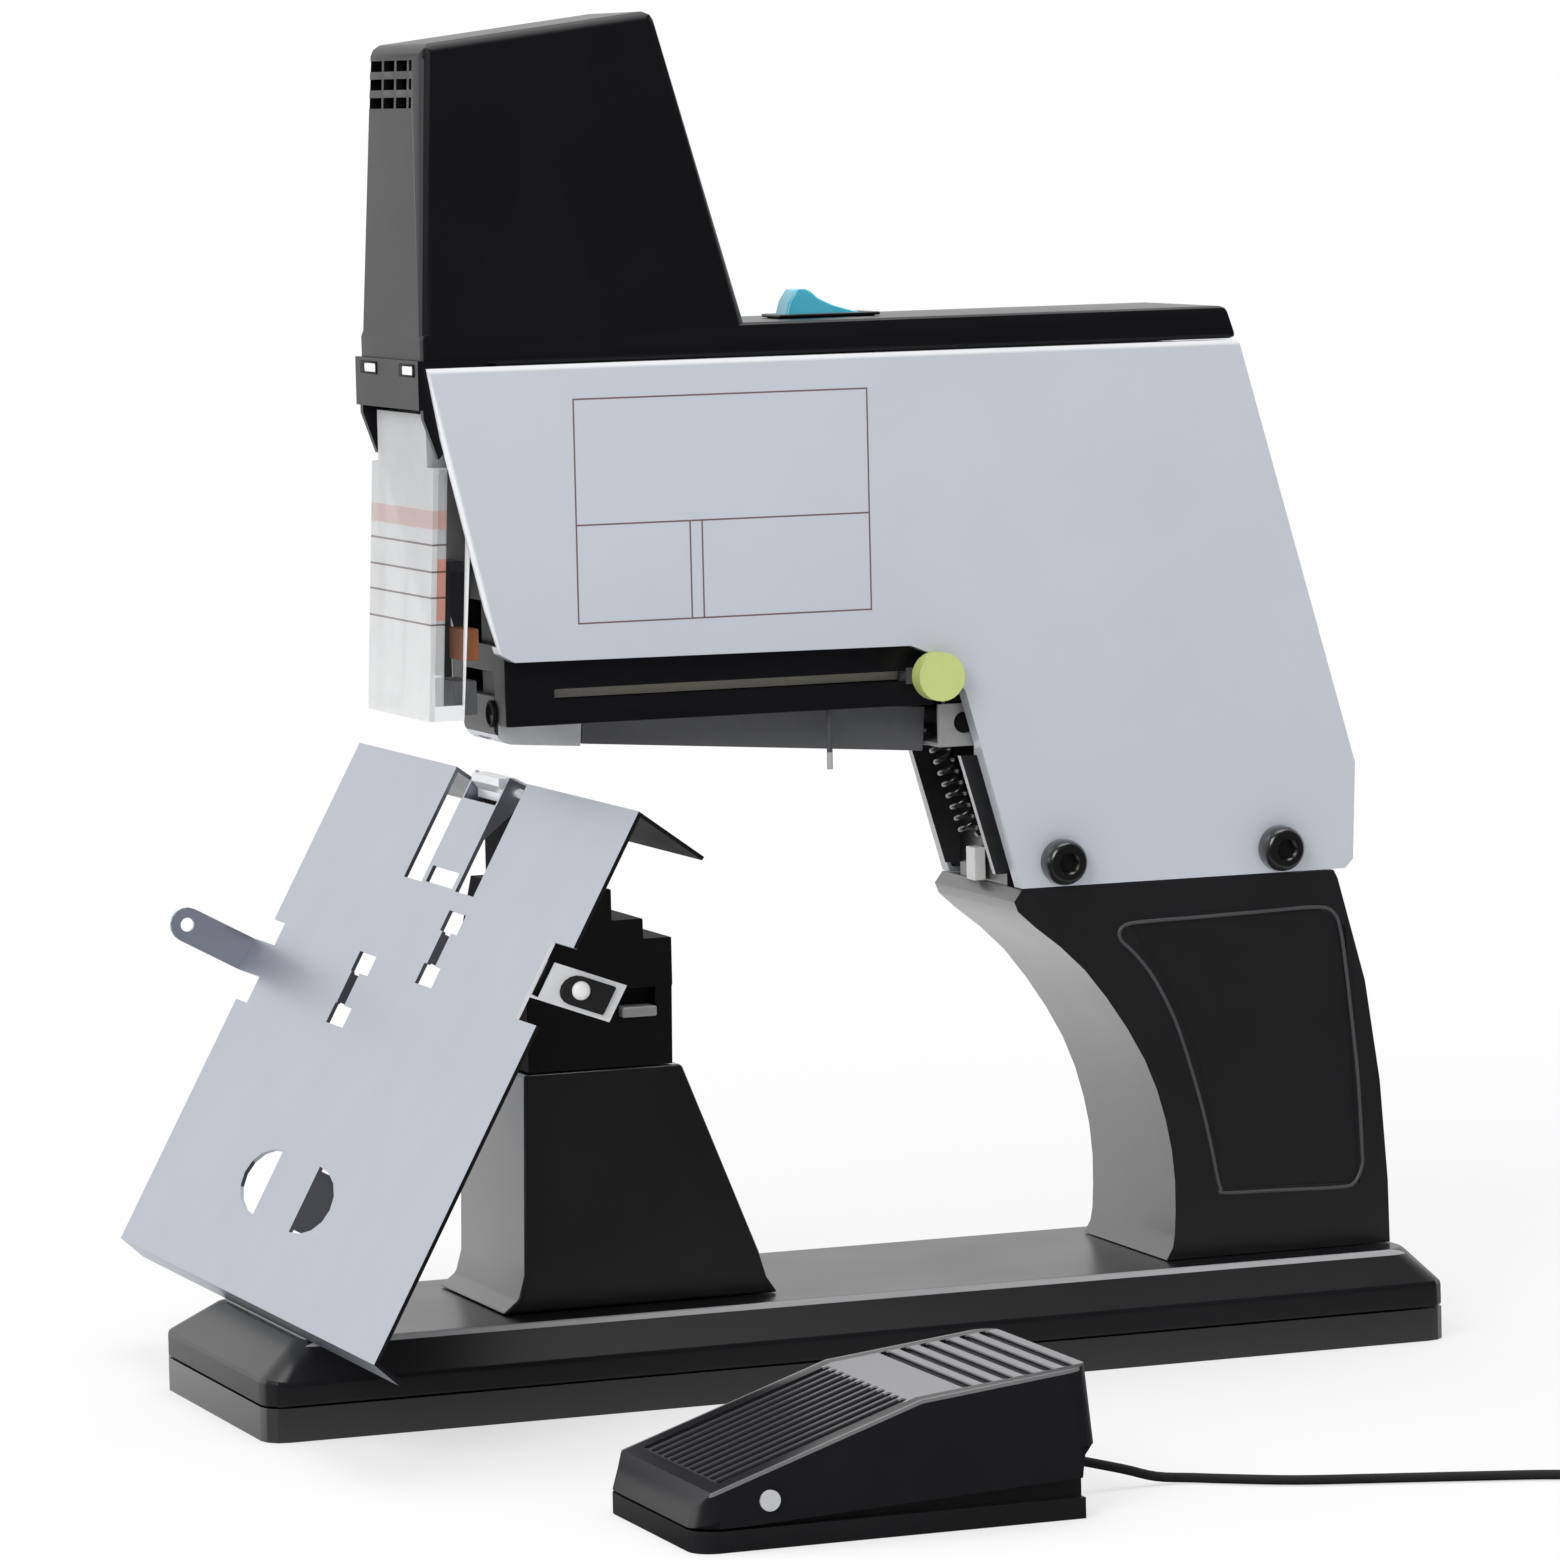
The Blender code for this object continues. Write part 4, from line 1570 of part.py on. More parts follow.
def treadle():
    outline = spread(TREADLE_SHARES, PEDAL_Y, span(TREADLE_RISE, TREADLE_HEIGHT))
    hollow = spread(TREADLE_INSIDE_SHARES, PEDAL_Y, span(TREADLE_RISE, TREADLE_HEIGHT))
    cover = slab("treadle", outline, PEDAL_X)
    inside = (PEDAL_X[0] + PEDAL_WALL, PEDAL_X[1] - PEDAL_WALL)
    cut(cover, slab("treadle_hollow", hollow, inside))
    reach = (PEDAL_X[0] - OVERRUN, PEDAL_X[1] + OVERRUN)
    place = (RIVET_Y, RIVET_Z)
    cut(cover, cross_rod("treadle_rivet_bore", reach, place, RIVET_RADIUS + CLEARANCE, SMALL_SIDES))
    head = (PEDAL_X[1] + CLEARANCE, PEDAL_X[1] + CLEARANCE + RIVET_HEAD)
    far_head = (PEDAL_X[0] - CLEARANCE - RIVET_HEAD, PEDAL_X[0] - CLEARANCE)
    shank = (far_head[0] + RIVET_HEAD / 2, head[1] - RIVET_HEAD / 2)
    rivet = cross_rod("treadle_pin", shank, place, RIVET_RADIUS, SMALL_SIDES)
    join(
        rivet,
        cross_rod("rivet_head", head, place, RIVET_HEAD_RADIUS),
        cross_rod("rivet_far_head", far_head, place, RIVET_HEAD_RADIUS),
    )
    paint(cover, SATIN_BLACK)
    paint(rivet, BRIGHT_STEEL)
    carry(pivot("treadle_pivot", (sum(PEDAL_X) / 2, *place)), cover)


def pedal_inside():
    middle = sum(PEDAL_X) / 2
    spring_top = ON_PEDAL_BASE + PEDAL_SPRING_HEIGHT
    spring_foot = (middle, PEDAL_SPRING_Y, ON_PEDAL_BASE)
    spring = rod("treadle_spring", spring_foot, (middle, PEDAL_SPRING_Y, spring_top), PEDAL_SPRING_RADIUS)
    micro = box("foot_switch", FOOT_SWITCH_X, FOOT_SWITCH_Y, span(ON_PEDAL_BASE, FOOT_SWITCH_HEIGHT))
    x, y = sum(FOOT_SWITCH_X) / 2, sum(FOOT_SWITCH_Y) / 2
    body_top = ON_PEDAL_BASE + FOOT_SWITCH_HEIGHT
    foot, tip = (x, y, body_top - OVERRUN), (x, y, body_top + PLUNGER_HEIGHT)
    join(micro, rod("plunger", foot, tip, PLUNGER_RADIUS, SMALL_SIDES))
    paint(spring, BRIGHT_STEEL)
    paint(micro, SATIN_BLACK)


def coil_points():
    """Loops that spiral in on the floor, climb a layer in half a turn, and spiral out again."""
    first = -90
    loops = COIL_LOOPS * COIL_LAYERS
    count = loops * COIL_POINTS
    outer = COIL_INNER_RADIUS + COIL_PITCH * COIL_LOOPS
    floor = CORD_RADIUS + CORD_REST
    points = []
    for index in range(count + 1):
        turns = index / COIL_POINTS
        angle = math.radians(first) + 2 * math.pi * turns
        radius = outer - COIL_PITCH * turns if turns < COIL_LOOPS else outer - COIL_PITCH * (loops - turns)
        climb = min(max((turns - COIL_LOOPS + 0.25) / 0.5, 0), 1)
        place = (COIL_CENTRE[0] + radius * math.cos(angle), COIL_CENTRE[1] + radius * math.sin(angle))
        points.append(Vector((*place, floor + COIL_LAYER * climb)))
    lead_in = points[0] - Vector((2 * CORD_RADIUS, 0, 0))
    tail = Vector((COIL_TAIL, 0, 0))
    return [lead_in, *points, points[-1] + tail / 2, points[-1] + tail]


def cord(grommet_end):
    coil = coil_points()
    print("cord_coil least gap, m:", round(least_gap(coil, COIL_POINTS // 2, CORD_RADIUS), 5))
    gap = Vector((0, CLEARANCE, 0))
    join_place = coil[0] - Vector((CLEARANCE, 0, 0))
    route = [grommet_end + gap, grommet_end + gap + Vector((0, 2 * CORD_RADIUS, 0))]
    route += [Vector(point) for point in CORD_ROUTE]
    route += [join_place - Vector((2 * CORD_RADIUS, 0, 0)), join_place]
    fine = np.array(smooth(route, 12))
    lengths = np.concatenate(([0], np.cumsum(np.linalg.norm(np.diff(fine, axis=0), axis=1))))
    count = round(lengths[-1] / CORD_STEP)
    marks = np.linspace(0, lengths[-1], count + 1)
    points = [tuple(np.interp(mark, lengths, fine[:, axis]) for axis in range(3)) for mark in marks]
    print("pedal_cord length, m:", round(float(lengths[-1]), 3), "points:", len(points))
    loop_length = sum((b - a).length for a, b in zip(coil, coil[1:]))
    print("cord_coil length, m:", round(loop_length, 3))
    paint(tube("pedal_cord", points, CORD_RADIUS, 2), RUBBER)
    paint(tube("cord_coil", coil, CORD_RADIUS, 1), RUBBER)

    end = coil[-1] + Vector((CLEARANCE, 0, 0))
    profile = [
        (0, PLUG_LENGTH + PLUG_TIP_LENGTH), (PLUG_TIP_RADIUS, PLUG_LENGTH + PLUG_TIP_LENGTH),
        (PLUG_TIP_RADIUS, PLUG_LENGTH), (PLUG_RADIUS, PLUG_LENGTH), (PLUG_RADIUS, PLUG_RADIUS),
        (CORD_RADIUS + CLEARANCE, 0), (0, 0),
    ]
    placement = Matrix.Translation(end) @ Matrix.Rotation(math.pi / 2, 4, "Y")
    paint(turned("cord_plug", profile, placement, SMALL_SIDES), SATIN_BLACK)


def main():
    clear_scene()
    base()
    front_pillar()
    rear_column()
    anvil_block()
    anvil()
    table()
    side_covers()
    caps()
    top_cover()
    rear_cover()
    frame_plates()
    drive()
    ram()
    head_front()
    guard()
    lower_arm()
    margin_gauge()
    magazine()
    pivot_parts()
    switch()
    control_board()
    grommet_end = pedal_base()
    treadle()
    pedal_inside()
    cord(grommet_end)


main()
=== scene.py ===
# %% [markdown]
# # Dressing an electric stapler
#
# The machine is a bench stapler. A cast base carries a short pillar with the anvil at the front and a
# curved column at the rear. The column holds a head with sheet-metal sides, a black top with a tall
# motor tower, a clear guard over the driver, and a magazine that swings below. A bent steel table
# hangs from the anvil, and a foot pedal lies beside the base on its cord.
#
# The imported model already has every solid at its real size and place. This file gives those solids
# round edges, seams, screws, ribs and finishes, and it never moves one.

import json
import math

import bmesh
import bpy
from mathutils import Matrix, Vector
from mathutils.bvhtree import BVHTree


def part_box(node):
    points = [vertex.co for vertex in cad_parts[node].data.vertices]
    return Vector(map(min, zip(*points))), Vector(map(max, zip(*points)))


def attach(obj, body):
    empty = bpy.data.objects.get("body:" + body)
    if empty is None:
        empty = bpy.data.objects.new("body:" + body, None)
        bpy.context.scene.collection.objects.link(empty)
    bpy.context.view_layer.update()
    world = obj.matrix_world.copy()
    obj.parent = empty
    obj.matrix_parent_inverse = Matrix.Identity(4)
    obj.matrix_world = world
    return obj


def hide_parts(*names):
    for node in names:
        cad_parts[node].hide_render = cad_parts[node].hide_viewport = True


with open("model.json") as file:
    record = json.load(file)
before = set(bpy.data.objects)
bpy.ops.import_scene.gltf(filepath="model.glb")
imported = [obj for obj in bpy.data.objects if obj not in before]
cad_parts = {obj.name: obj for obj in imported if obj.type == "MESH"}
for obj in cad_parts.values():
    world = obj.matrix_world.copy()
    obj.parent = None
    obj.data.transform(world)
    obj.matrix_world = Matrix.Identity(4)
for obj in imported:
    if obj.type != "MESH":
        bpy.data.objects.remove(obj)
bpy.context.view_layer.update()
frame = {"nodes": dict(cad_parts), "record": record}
NODES = frame["nodes"]
RECORD = frame["record"]
BODY_OF = {node: body for body, nodes in RECORD["behaviour"]["bodies"].items() for node in nodes}

# %% [markdown]
# ## The camera
#
# The picture was taken with a long lens from the machine's right front corner, a little above the
# bench. A constraint could aim the camera, but a matrix built from the line of sight does so once and
# holds still. The roll keeps the picture's lean of a degree or so.

# %% Camera
MM = 0.001
CAMERA_PLACE = Vector((2154.8, -819.6, 400.0)) * MM
CAMERA_TARGET = Vector((0, -5.9, 184.3)) * MM
CAMERA_ROLL = math.radians(-1.32)
LENS_MM = 171.27
SENSOR_MM = 36


def added(name, data):
    """A new object in the scene."""
    thing = bpy.data.objects.new(name, data)
    bpy.context.scene.collection.objects.link(thing)
    return thing


def aimed(place, target):
    """The matrix of a camera or a lamp that looks from a place to a target."""
    sight = (target - place).to_track_quat("-Z", "Y").to_matrix().to_4x4()
    return Matrix.Translation(place) @ sight


def add_camera():
    lens = bpy.data.cameras.new("camera")
    lens.lens, lens.sensor_width = LENS_MM, SENSOR_MM
    camera = added("camera", lens)
    camera.matrix_world = aimed(CAMERA_PLACE, CAMERA_TARGET) @ Matrix.Rotation(CAMERA_ROLL, 4, "Z")
    bpy.context.scene.camera = camera


add_camera()
print("camera", round((CAMERA_TARGET - CAMERA_PLACE).length, 3), "m from the column")

# %% [markdown]
# ## Shader maths
#
# A finish is a small sum over the surface: so much noise, so much of a mask. Wiring each Math node by
# hand hides that sum, so a thin class stands for a node's output, and Python's own operators add the
# nodes.


# %% Wires
class Wire:
    """A node's output. Arithmetic on it adds Math nodes to the recipe that it belongs to."""

    def __init__(self, recipe, socket):
        self.recipe, self.socket = recipe, socket

    def reckon(self, operation, first, second):
        return self.recipe.node("ShaderNodeMath", {"operation": operation}, {0: first, 1: second})

    def __add__(self, other):
        return self.reckon("ADD", self, other)

    def __sub__(self, other):
        return self.reckon("SUBTRACT", self, other)

    def __rsub__(self, other):
        return self.reckon("SUBTRACT", other, self)

    def __mul__(self, other):
        return self.reckon("MULTIPLY", self, other)

    def __lt__(self, other):
        return self.reckon("LESS_THAN", self, other)

    def __gt__(self, other):
        return self.reckon("GREATER_THAN", self, other)

    __radd__, __rmul__ = __add__, __mul__


print("wires can be added, subtracted, multiplied and compared")

# %% [markdown]
# ## Recipes
#
# The look of a material lives in its node tree. Nodes could be placed one by one in the editor. Here one
# method adds a node of any kind, sets its settings, and then fills its sockets with values or wires.
# The settings come first, because some of them decide which sockets a node has.


# %% Recipes
class Recipe:
    """The nodes of one material or world, added step by step."""

    def __init__(self, owner):
        owner.use_nodes = True
        self.owner, self.tree = owner, owner.node_tree
        self.tree.nodes.clear()

    def node(self, kind, settings=None, inputs=None, output=0):
        """Adds a node, sets its own settings, then gives its sockets values or wires."""
        made = self.tree.nodes.new(kind)
        for name, value in (settings or {}).items():
            setattr(made, name, value)
        for name, value in (inputs or {}).items():
            if isinstance(value, Wire):
                self.tree.links.new(value.socket, made.inputs[name])
            else:
                made.inputs[name].default_value = value
        return Wire(self, made.outputs[output]) if made.outputs else None


def new_recipe(name):
    return Recipe(bpy.data.materials.new(name))


print("recipes ready")

# %% [markdown]
# ## What every finish starts from
#
# Each finish is placed by the solid's own coordinates, in metres, so its grain has a real size and
# moves with the piece. Noise gives the grain, and a stretch along one axis turns it into the fine lines
# of rolled or brushed metal.


# %% Places, grain and shine
FINE_DETAIL = 3.0


def place_of(recipe):
    return recipe.node("ShaderNodeTexCoord", output="Object")


def axes_of(recipe):
    where = place_of(recipe)
    return [recipe.node("ShaderNodeSeparateXYZ", {}, {0: where}, output=axis) for axis in "XYZ"]


def grain(recipe, size, detail=2.0, stretch=(1, 1, 1)):
    """Noise whose spots are about this many metres across."""
    where = place_of(recipe)
    scaled = recipe.node("ShaderNodeVectorMath", {"operation": "MULTIPLY"}, {0: where, 1: stretch})
    return recipe.node("ShaderNodeTexNoise", {}, {"Vector": scaled, "Scale": 1 / size, "Detail": detail})


def blend(factor, first, second):
    """A colour from the first to the second as the factor goes from 0 to 1."""
    ends = [end if isinstance(end, Wire) else (*end, 1) for end in (first, second)]
    inputs = {0: factor, 6: ends[0], 7: ends[1]}
    return factor.recipe.node("ShaderNodeMix", {"data_type": "RGBA"}, inputs, output=2)


def relief(height, strength, depth):
    inputs = {"Strength": strength, "Distance": depth, "Height": height}
    return height.recipe.node("ShaderNodeBump", {}, inputs)


def finished(recipe, sockets):
    """Feeds the one shader of a material and returns the material."""
    shader = recipe.node("ShaderNodeBsdfPrincipled", {}, sockets)
    recipe.node("ShaderNodeOutputMaterial", {}, {"Surface": shader})
    return recipe.owner


print("helpers for finishes ready")

# %% [markdown]
# ## Black paint and castings
#
# The castings wear a thick satin coat with a slight orange peel, the folded and moulded covers a
# smoother one. A flat black would look like a hole in the picture. The broad noise lets the tone and
# the gloss drift a little, and the fine noise breaks up the reflections as real paint does.


# %% Black finishes
CLOUD_SIZE = 0.035
COAT_ROUGHNESS = 0.28
CREST_X = 0.0455
CREST_Z = 0.0268
CREST_HIGHLIGHT_GREY = (0.42, 0.42, 0.43)


def black_coat(name, tone, roughness, peel_size, peel_depth, specular, coat=0.0):
    recipe = new_recipe(name)
    cloud = grain(recipe, CLOUD_SIZE)
    peel = grain(recipe, peel_size, FINE_DETAIL)
    dark = tuple(channel * 0.75 for channel in tone)
    return finished(recipe, {
        "Base Color": blend(cloud, dark, tone),
        "Roughness": roughness - 0.06 + 0.08 * cloud + 0.05 * peel,
        "Specular IOR Level": specular,
        "Coat Weight": coat,
        "Coat Roughness": COAT_ROUGHNESS,
        "Normal": relief(peel, 0.25, peel_depth),
    })


def base_coat():
    """The casting's black, with a painted highlight: a paler line along the crest between its top and its
    shoulder.
    """
    recipe = new_recipe("black_with_painted_crest_highlight")
    x, _, z = axes_of(recipe)
    cloud = grain(recipe, CLOUD_SIZE)
    peel = grain(recipe, 0.0014, FINE_DETAIL)
    # Painted highlight: the crest between the top and the shoulder is paler.
    crest = (x * x > CREST_X * CREST_X) * (z > CREST_Z)
    dark = blend(cloud, (0.007, 0.007, 0.008), (0.009, 0.009, 0.011))
    return finished(recipe, {
        "Base Color": blend(crest * (0.7 + 0.3 * cloud), dark, CREST_HIGHLIGHT_GREY),
        "Roughness": 0.26 + 0.08 * cloud,
        "Specular IOR Level": 0.35,
        "Coat Weight": 0.1,
        "Coat Roughness": COAT_ROUGHNESS,
        "Normal": relief(peel, 0.1, 0.00001),
    })


CAST_BLACK = black_coat("casting_black", (0.010, 0.010, 0.012), 0.30, 0.0011, 0.00005, 0.8, 0.8)
BASE_BLACK = base_coat()
SATIN_BLACK = black_coat("satin_black", (0.007, 0.007, 0.009), 0.30, 0.0008, 0.00002, 0.22)
MOULDED_BLACK = black_coat("moulded_black", (0.012, 0.012, 0.014), 0.32, 0.0005, 0.00003, 0.5, 0.2)
RUBBER_BLACK = black_coat("matt_rubber", (0.016, 0.016, 0.016), 0.72, 0.0007, 0.00006, 0.3)
# Painted shade: a near black for thin plates that stand for the shade in slots and recesses.
SLOT_SHADE_BLACK = black_coat("slot_painted_shade", (0.004, 0.004, 0.005), 0.6, 0.0008, 0.00003, 0.2)
BLOCK_BLACK = black_coat("block_black", (0.011, 0.011, 0.012), 0.55, 0.0006, 0.00002, 0.06)
SCREW_BLACK = black_coat("screw_black", (0.006, 0.006, 0.007), 0.22, 0.0006, 0.00001, 0.7, 1.0)
# Painted highlight: the paler grey of the beads that draw the lit rims of the column's panels.
BEAD_HIGHLIGHT_GREY = black_coat("bead_highlight_grey", (0.075, 0.076, 0.080), 0.40, 0.0006, 0.00001, 0.5)
print("black finishes:", ", ".join(m.name for m in (CAST_BLACK, BASE_BLACK, SATIN_BLACK, MOULDED_BLACK)))

# %% [markdown]
# ## Masks
#
# A mask is 1 where a finish changes and 0 elsewhere. It could be painted as a picture, but a picture
# blurs close up. Comparing a coordinate with a limit gives a clean edge at any distance, and products
# and maxima of such comparisons make bands, lines and frames.


# %% Masks
def inside(value, limits):
    return (value > limits[0]) * (value < limits[1])


def either(first, second):
    return first.reckon("MAXIMUM", first, second)


def ramp(value, low, high):
    """Grows from 0 at the low value to 1 at the high one."""
    return value.recipe.node("ShaderNodeMapRange", {}, {0: value, 1: low, 2: high})


def lines(value, places, half):
    """A mask of thin lines at these places along one axis."""
    mask = None
    for place in places:
        line = value.recipe.node("ShaderNodeMath", {"operation": "COMPARE"}, {0: value, 1: place, 2: half})
        mask = either(mask, line) if mask else line
    return mask


print("masks ready")

# %% [markdown]
# ## Printed frame on the right cover
#
# The right side cover has a printed frame with empty fields. Printing has no thickness to speak of, so
# it isn't modelled. It is drawn with masks in the finish, each line a thin band of the side view's own
# coordinates.

# %% Printed frame
FRAME_Y = (-0.0824, 0.0130)
FRAME_Z = (0.2387, 0.3067)
FRAME_BAR_Z = 0.2685
FRAME_POSTS_Y = (-0.0457, -0.0418)
LINE_HALF = 0.00026
COVER_RIGHT, COVER_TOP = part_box("side_cover_right")[1].xz


def printed_frame(recipe):
    """A mask of thin lines: an oblong, a bar across it and two posts below the bar."""
    x, y, z = axes_of(recipe)
    within_y = inside(y, (FRAME_Y[0] - LINE_HALF, FRAME_Y[1] + LINE_HALF))
    within_z = inside(z, (FRAME_Z[0] - LINE_HALF, FRAME_Z[1] + LINE_HALF))
    across = lines(z, (*FRAME_Z, FRAME_BAR_Z), LINE_HALF) * within_y
    up = lines(y, FRAME_Y, LINE_HALF) * within_z
    posts = lines(y, FRAME_POSTS_Y, LINE_HALF) * inside(z, (FRAME_Z[0], FRAME_BAR_Z))
    outside = x > (COVER_RIGHT - LINE_HALF)
    return either(either(across, up), posts) * outside


print("printed frame", round(FRAME_Y[1] - FRAME_Y[0], 3), "m long")

# %% [markdown]
# ## Pale enamel on the side covers
#
# The pressed side covers have a pale cool grey enamel. Its tone is even, with a fine speckle that shows
# only close up. The rolled rims at the top and the front catch the light as thin lines. The render
# alone would show them unsteadily, so a ramp across the last two millimetres paints them pale, as a
# painted highlight.

# %% Enamel
ENAMEL = (0.50, 0.525, 0.58)
ENAMEL_LIGHT = (0.555, 0.58, 0.635)
PRINT_BROWN = (0.13, 0.055, 0.05)
COVER_FRONT = Vector((-0.1245, 0.2960))
COVER_LEAN = 0.238
RIM_WIDTH = 0.0018
RIM_HIGHLIGHT_PALE = (0.90, 0.91, 0.92)


def painted_rim_highlights(recipe):
    """The rolled top and front rims, painted pale as highlights."""
    _, y, z = axes_of(recipe)
    top = ramp(z, COVER_TOP - RIM_WIDTH, COVER_TOP - RIM_WIDTH / 2)
    front_y = COVER_FRONT.x + (COVER_FRONT.y - z) * COVER_LEAN
    front = ramp(front_y + RIM_WIDTH - y, 0.0, RIM_WIDTH / 2)
    return either(top, front)


def enamel(name, with_frame):
    recipe = new_recipe(name)
    cloud = grain(recipe, 0.05)
    speckle = grain(recipe, 0.0006, 1.0)
    colour = blend(0.7 * cloud + 0.3 * speckle, ENAMEL, ENAMEL_LIGHT)
    # Painted highlight along the rolled top and front rims.
    colour = blend(0.85 * painted_rim_highlights(recipe), colour, RIM_HIGHLIGHT_PALE)
    if with_frame:
        colour = blend(0.9 * printed_frame(recipe), colour, PRINT_BROWN)
    return finished(recipe, {
        "Base Color": colour,
        "Roughness": 0.44 + 0.08 * speckle,
        "Specular IOR Level": 0.4,
        "Coat Weight": 0.8,
        "Coat Roughness": 0.10,
        "Normal": relief(speckle, 0.15, 0.00003),
    })


PANEL_GREY = enamel("panel_grey", False)
PANEL_PRINTED = enamel("panel_printed", True)
print("enamel:", PANEL_GREY.name, PANEL_PRINTED.name)

# %% [markdown]
# ## Bare metals
#
# Rolled stainless has very fine lines along the sheet, zinc plating has a soft mottle, and ground or
# polished steel is cleaner. Plated and satin parts scatter much of their light, so only a share of
# them is metal in the shader, and they stay bright on the side that faces a dark room.


# %% Metal finishes
def metal(name, bright, dull, roughness, spread, size, stretch=(1, 1, 1), depth=0.00001, share=1.0):
    recipe = new_recipe(name)
    mottle = grain(recipe, size, FINE_DETAIL, stretch)
    cloud = grain(recipe, 0.03)
    return finished(recipe, {
        "Base Color": blend(0.6 * mottle + 0.4 * cloud, dull, bright),
        "Metallic": share,
        "Roughness": roughness + spread * mottle - 0.1 * cloud,
        "Normal": relief(mottle, 0.2, depth),
    })


STAINLESS = metal(
    "rolled_stainless", (0.55, 0.575, 0.64), (0.465, 0.49, 0.55), 0.36, 0.12, 0.0005,
    stretch=(0.05, 1, 1), depth=0.000008,
)
# Painted shade: a dark copy of the stainless for the table's cut end and the flanges' underside.
PAINTED_SHADE_STEEL = metal("painted_shade_steel", (0.13, 0.132, 0.14), (0.09, 0.092, 0.10), 0.36, 0.12, 0.002)
ZINC = metal("zinc_plate", (0.60, 0.60, 0.59), (0.44, 0.44, 0.45), 0.38, 0.16, 0.004, share=0.45)
POLISHED = metal("polished_steel", (0.86, 0.87, 0.89), (0.74, 0.75, 0.78), 0.22, 0.08, 0.002, share=0.4)
# Painted highlight: a bright copy of the stainless for the table's ear.
EAR_HIGHLIGHT_STEEL = metal("ear_highlight_steel", (0.93, 0.94, 0.96), (0.84, 0.85, 0.88), 0.26, 0.08, 0.003, share=0.3)
DARK_STEEL = metal(
    "blackened_steel", (0.055, 0.056, 0.06), (0.025, 0.025, 0.028), 0.40, 0.15, 0.003, share=0.5,
)
GREY_STEEL = metal("grey_steel", (0.165, 0.168, 0.176), (0.118, 0.121, 0.129), 0.34, 0.12, 0.003, share=0.3)
RAIL_STEEL = metal("rail_steel", (0.58, 0.55, 0.47), (0.40, 0.38, 0.32), 0.36, 0.12, 0.002, share=0.3)
BRONZE = metal("bronze", (0.52, 0.20, 0.085), (0.36, 0.13, 0.05), 0.42, 0.16, 0.0015, share=0.4)
print("metals:", STAINLESS.name, ZINC.name, POLISHED.name, DARK_STEEL.name, BRONZE.name)

# %% [markdown]
# ## Coloured plastics
#
# The margin knob is soft yellow-green plastic, the rocker is clear cyan, and the spring seat is white
# nylon. A flat colour would look like paper, so each has the slight cloud and the fine pores of a
# moulding. A little light that spreads below the rocker's surface makes it look clear.


# %% Plastic finishes
def plastic(name, light, dark, roughness, specular=0.5, steady=None):
    recipe = new_recipe(name)
    cloud = grain(recipe, 0.006)
    pores = grain(recipe, 0.0004)
    return finished(recipe, {
        "Base Color": blend(cloud, dark, light),
        "Roughness": roughness + 0.08 * pores,
        "Specular IOR Level": specular,
        "Normal": relief(pores, 0.12, 0.00003),
        **(steady or {}),
    })


KNOB_GREEN = plastic("knob_lime", (0.56, 0.64, 0.24), (0.49, 0.58, 0.18), 0.42)
ROCKER_CYAN = plastic(
    "clear_cyan", (0.13, 0.68, 0.86), (0.06, 0.52, 0.72), 0.12, 0.7,
    {"Subsurface Weight": 0.25, "Subsurface Scale": 0.004, "Coat Weight": 0.4},
)
NYLON_WHITE = plastic("nylon_white", (0.78, 0.78, 0.76), (0.70, 0.70, 0.68), 0.45)
PEG_WHITE = plastic("peg_white", (0.85, 0.85, 0.85), (0.76, 0.76, 0.76), 0.35)
BOARD_GREEN = plastic("board_coat", (0.03, 0.20, 0.09), (0.01, 0.11, 0.05), 0.40)
print("plastics:", KNOB_GREEN.name, ROCKER_CYAN.name, NYLON_WHITE.name, PEG_WHITE.name, BOARD_GREEN.name)

# %% [markdown]
# ## Clear guard
#
# The guard is clear sheet whose front is misted, with a few plain printed rules and a band. Its hood is
# frosted, and its cut rims are painted white, a painted highlight such as the rims of clear sheet show.
# Transmission could show this, but Alpha stays clear at any thickness and exports as it looks. The
# mist is painted darker towards the hood, as painted shade.

# %% Guard finish
GUARD_LOW, GUARD_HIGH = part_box("guard")
GUARD_LEAN = 0.0035 / 0.0765
GUARD_SHEET = 0.0017
HOOD_BOTTOM = GUARD_HIGH.z - 0.0165
RULE_Z = (0.2402, 0.2484, 0.2562, 0.2643)
RULE_HALF = 0.0003
BAND_Z = (0.2691, 0.2747)
SIDE_BAND_Z = (0.2415, 0.2600)
RIM = 0.0008
STRIP = 0.0045
FOOT_HEIGHT = 0.0045
MIST_DARK, MIST_PALE = (0.50, 0.51, 0.52), (0.72, 0.725, 0.73)
WALL_GREY = (0.10, 0.10, 0.11)
RIM_HIGHLIGHT_WHITE = (0.88, 0.89, 0.90)
BAND_RED = (0.46, 0.15, 0.10)
RULE_BROWN = (0.09, 0.045, 0.04)


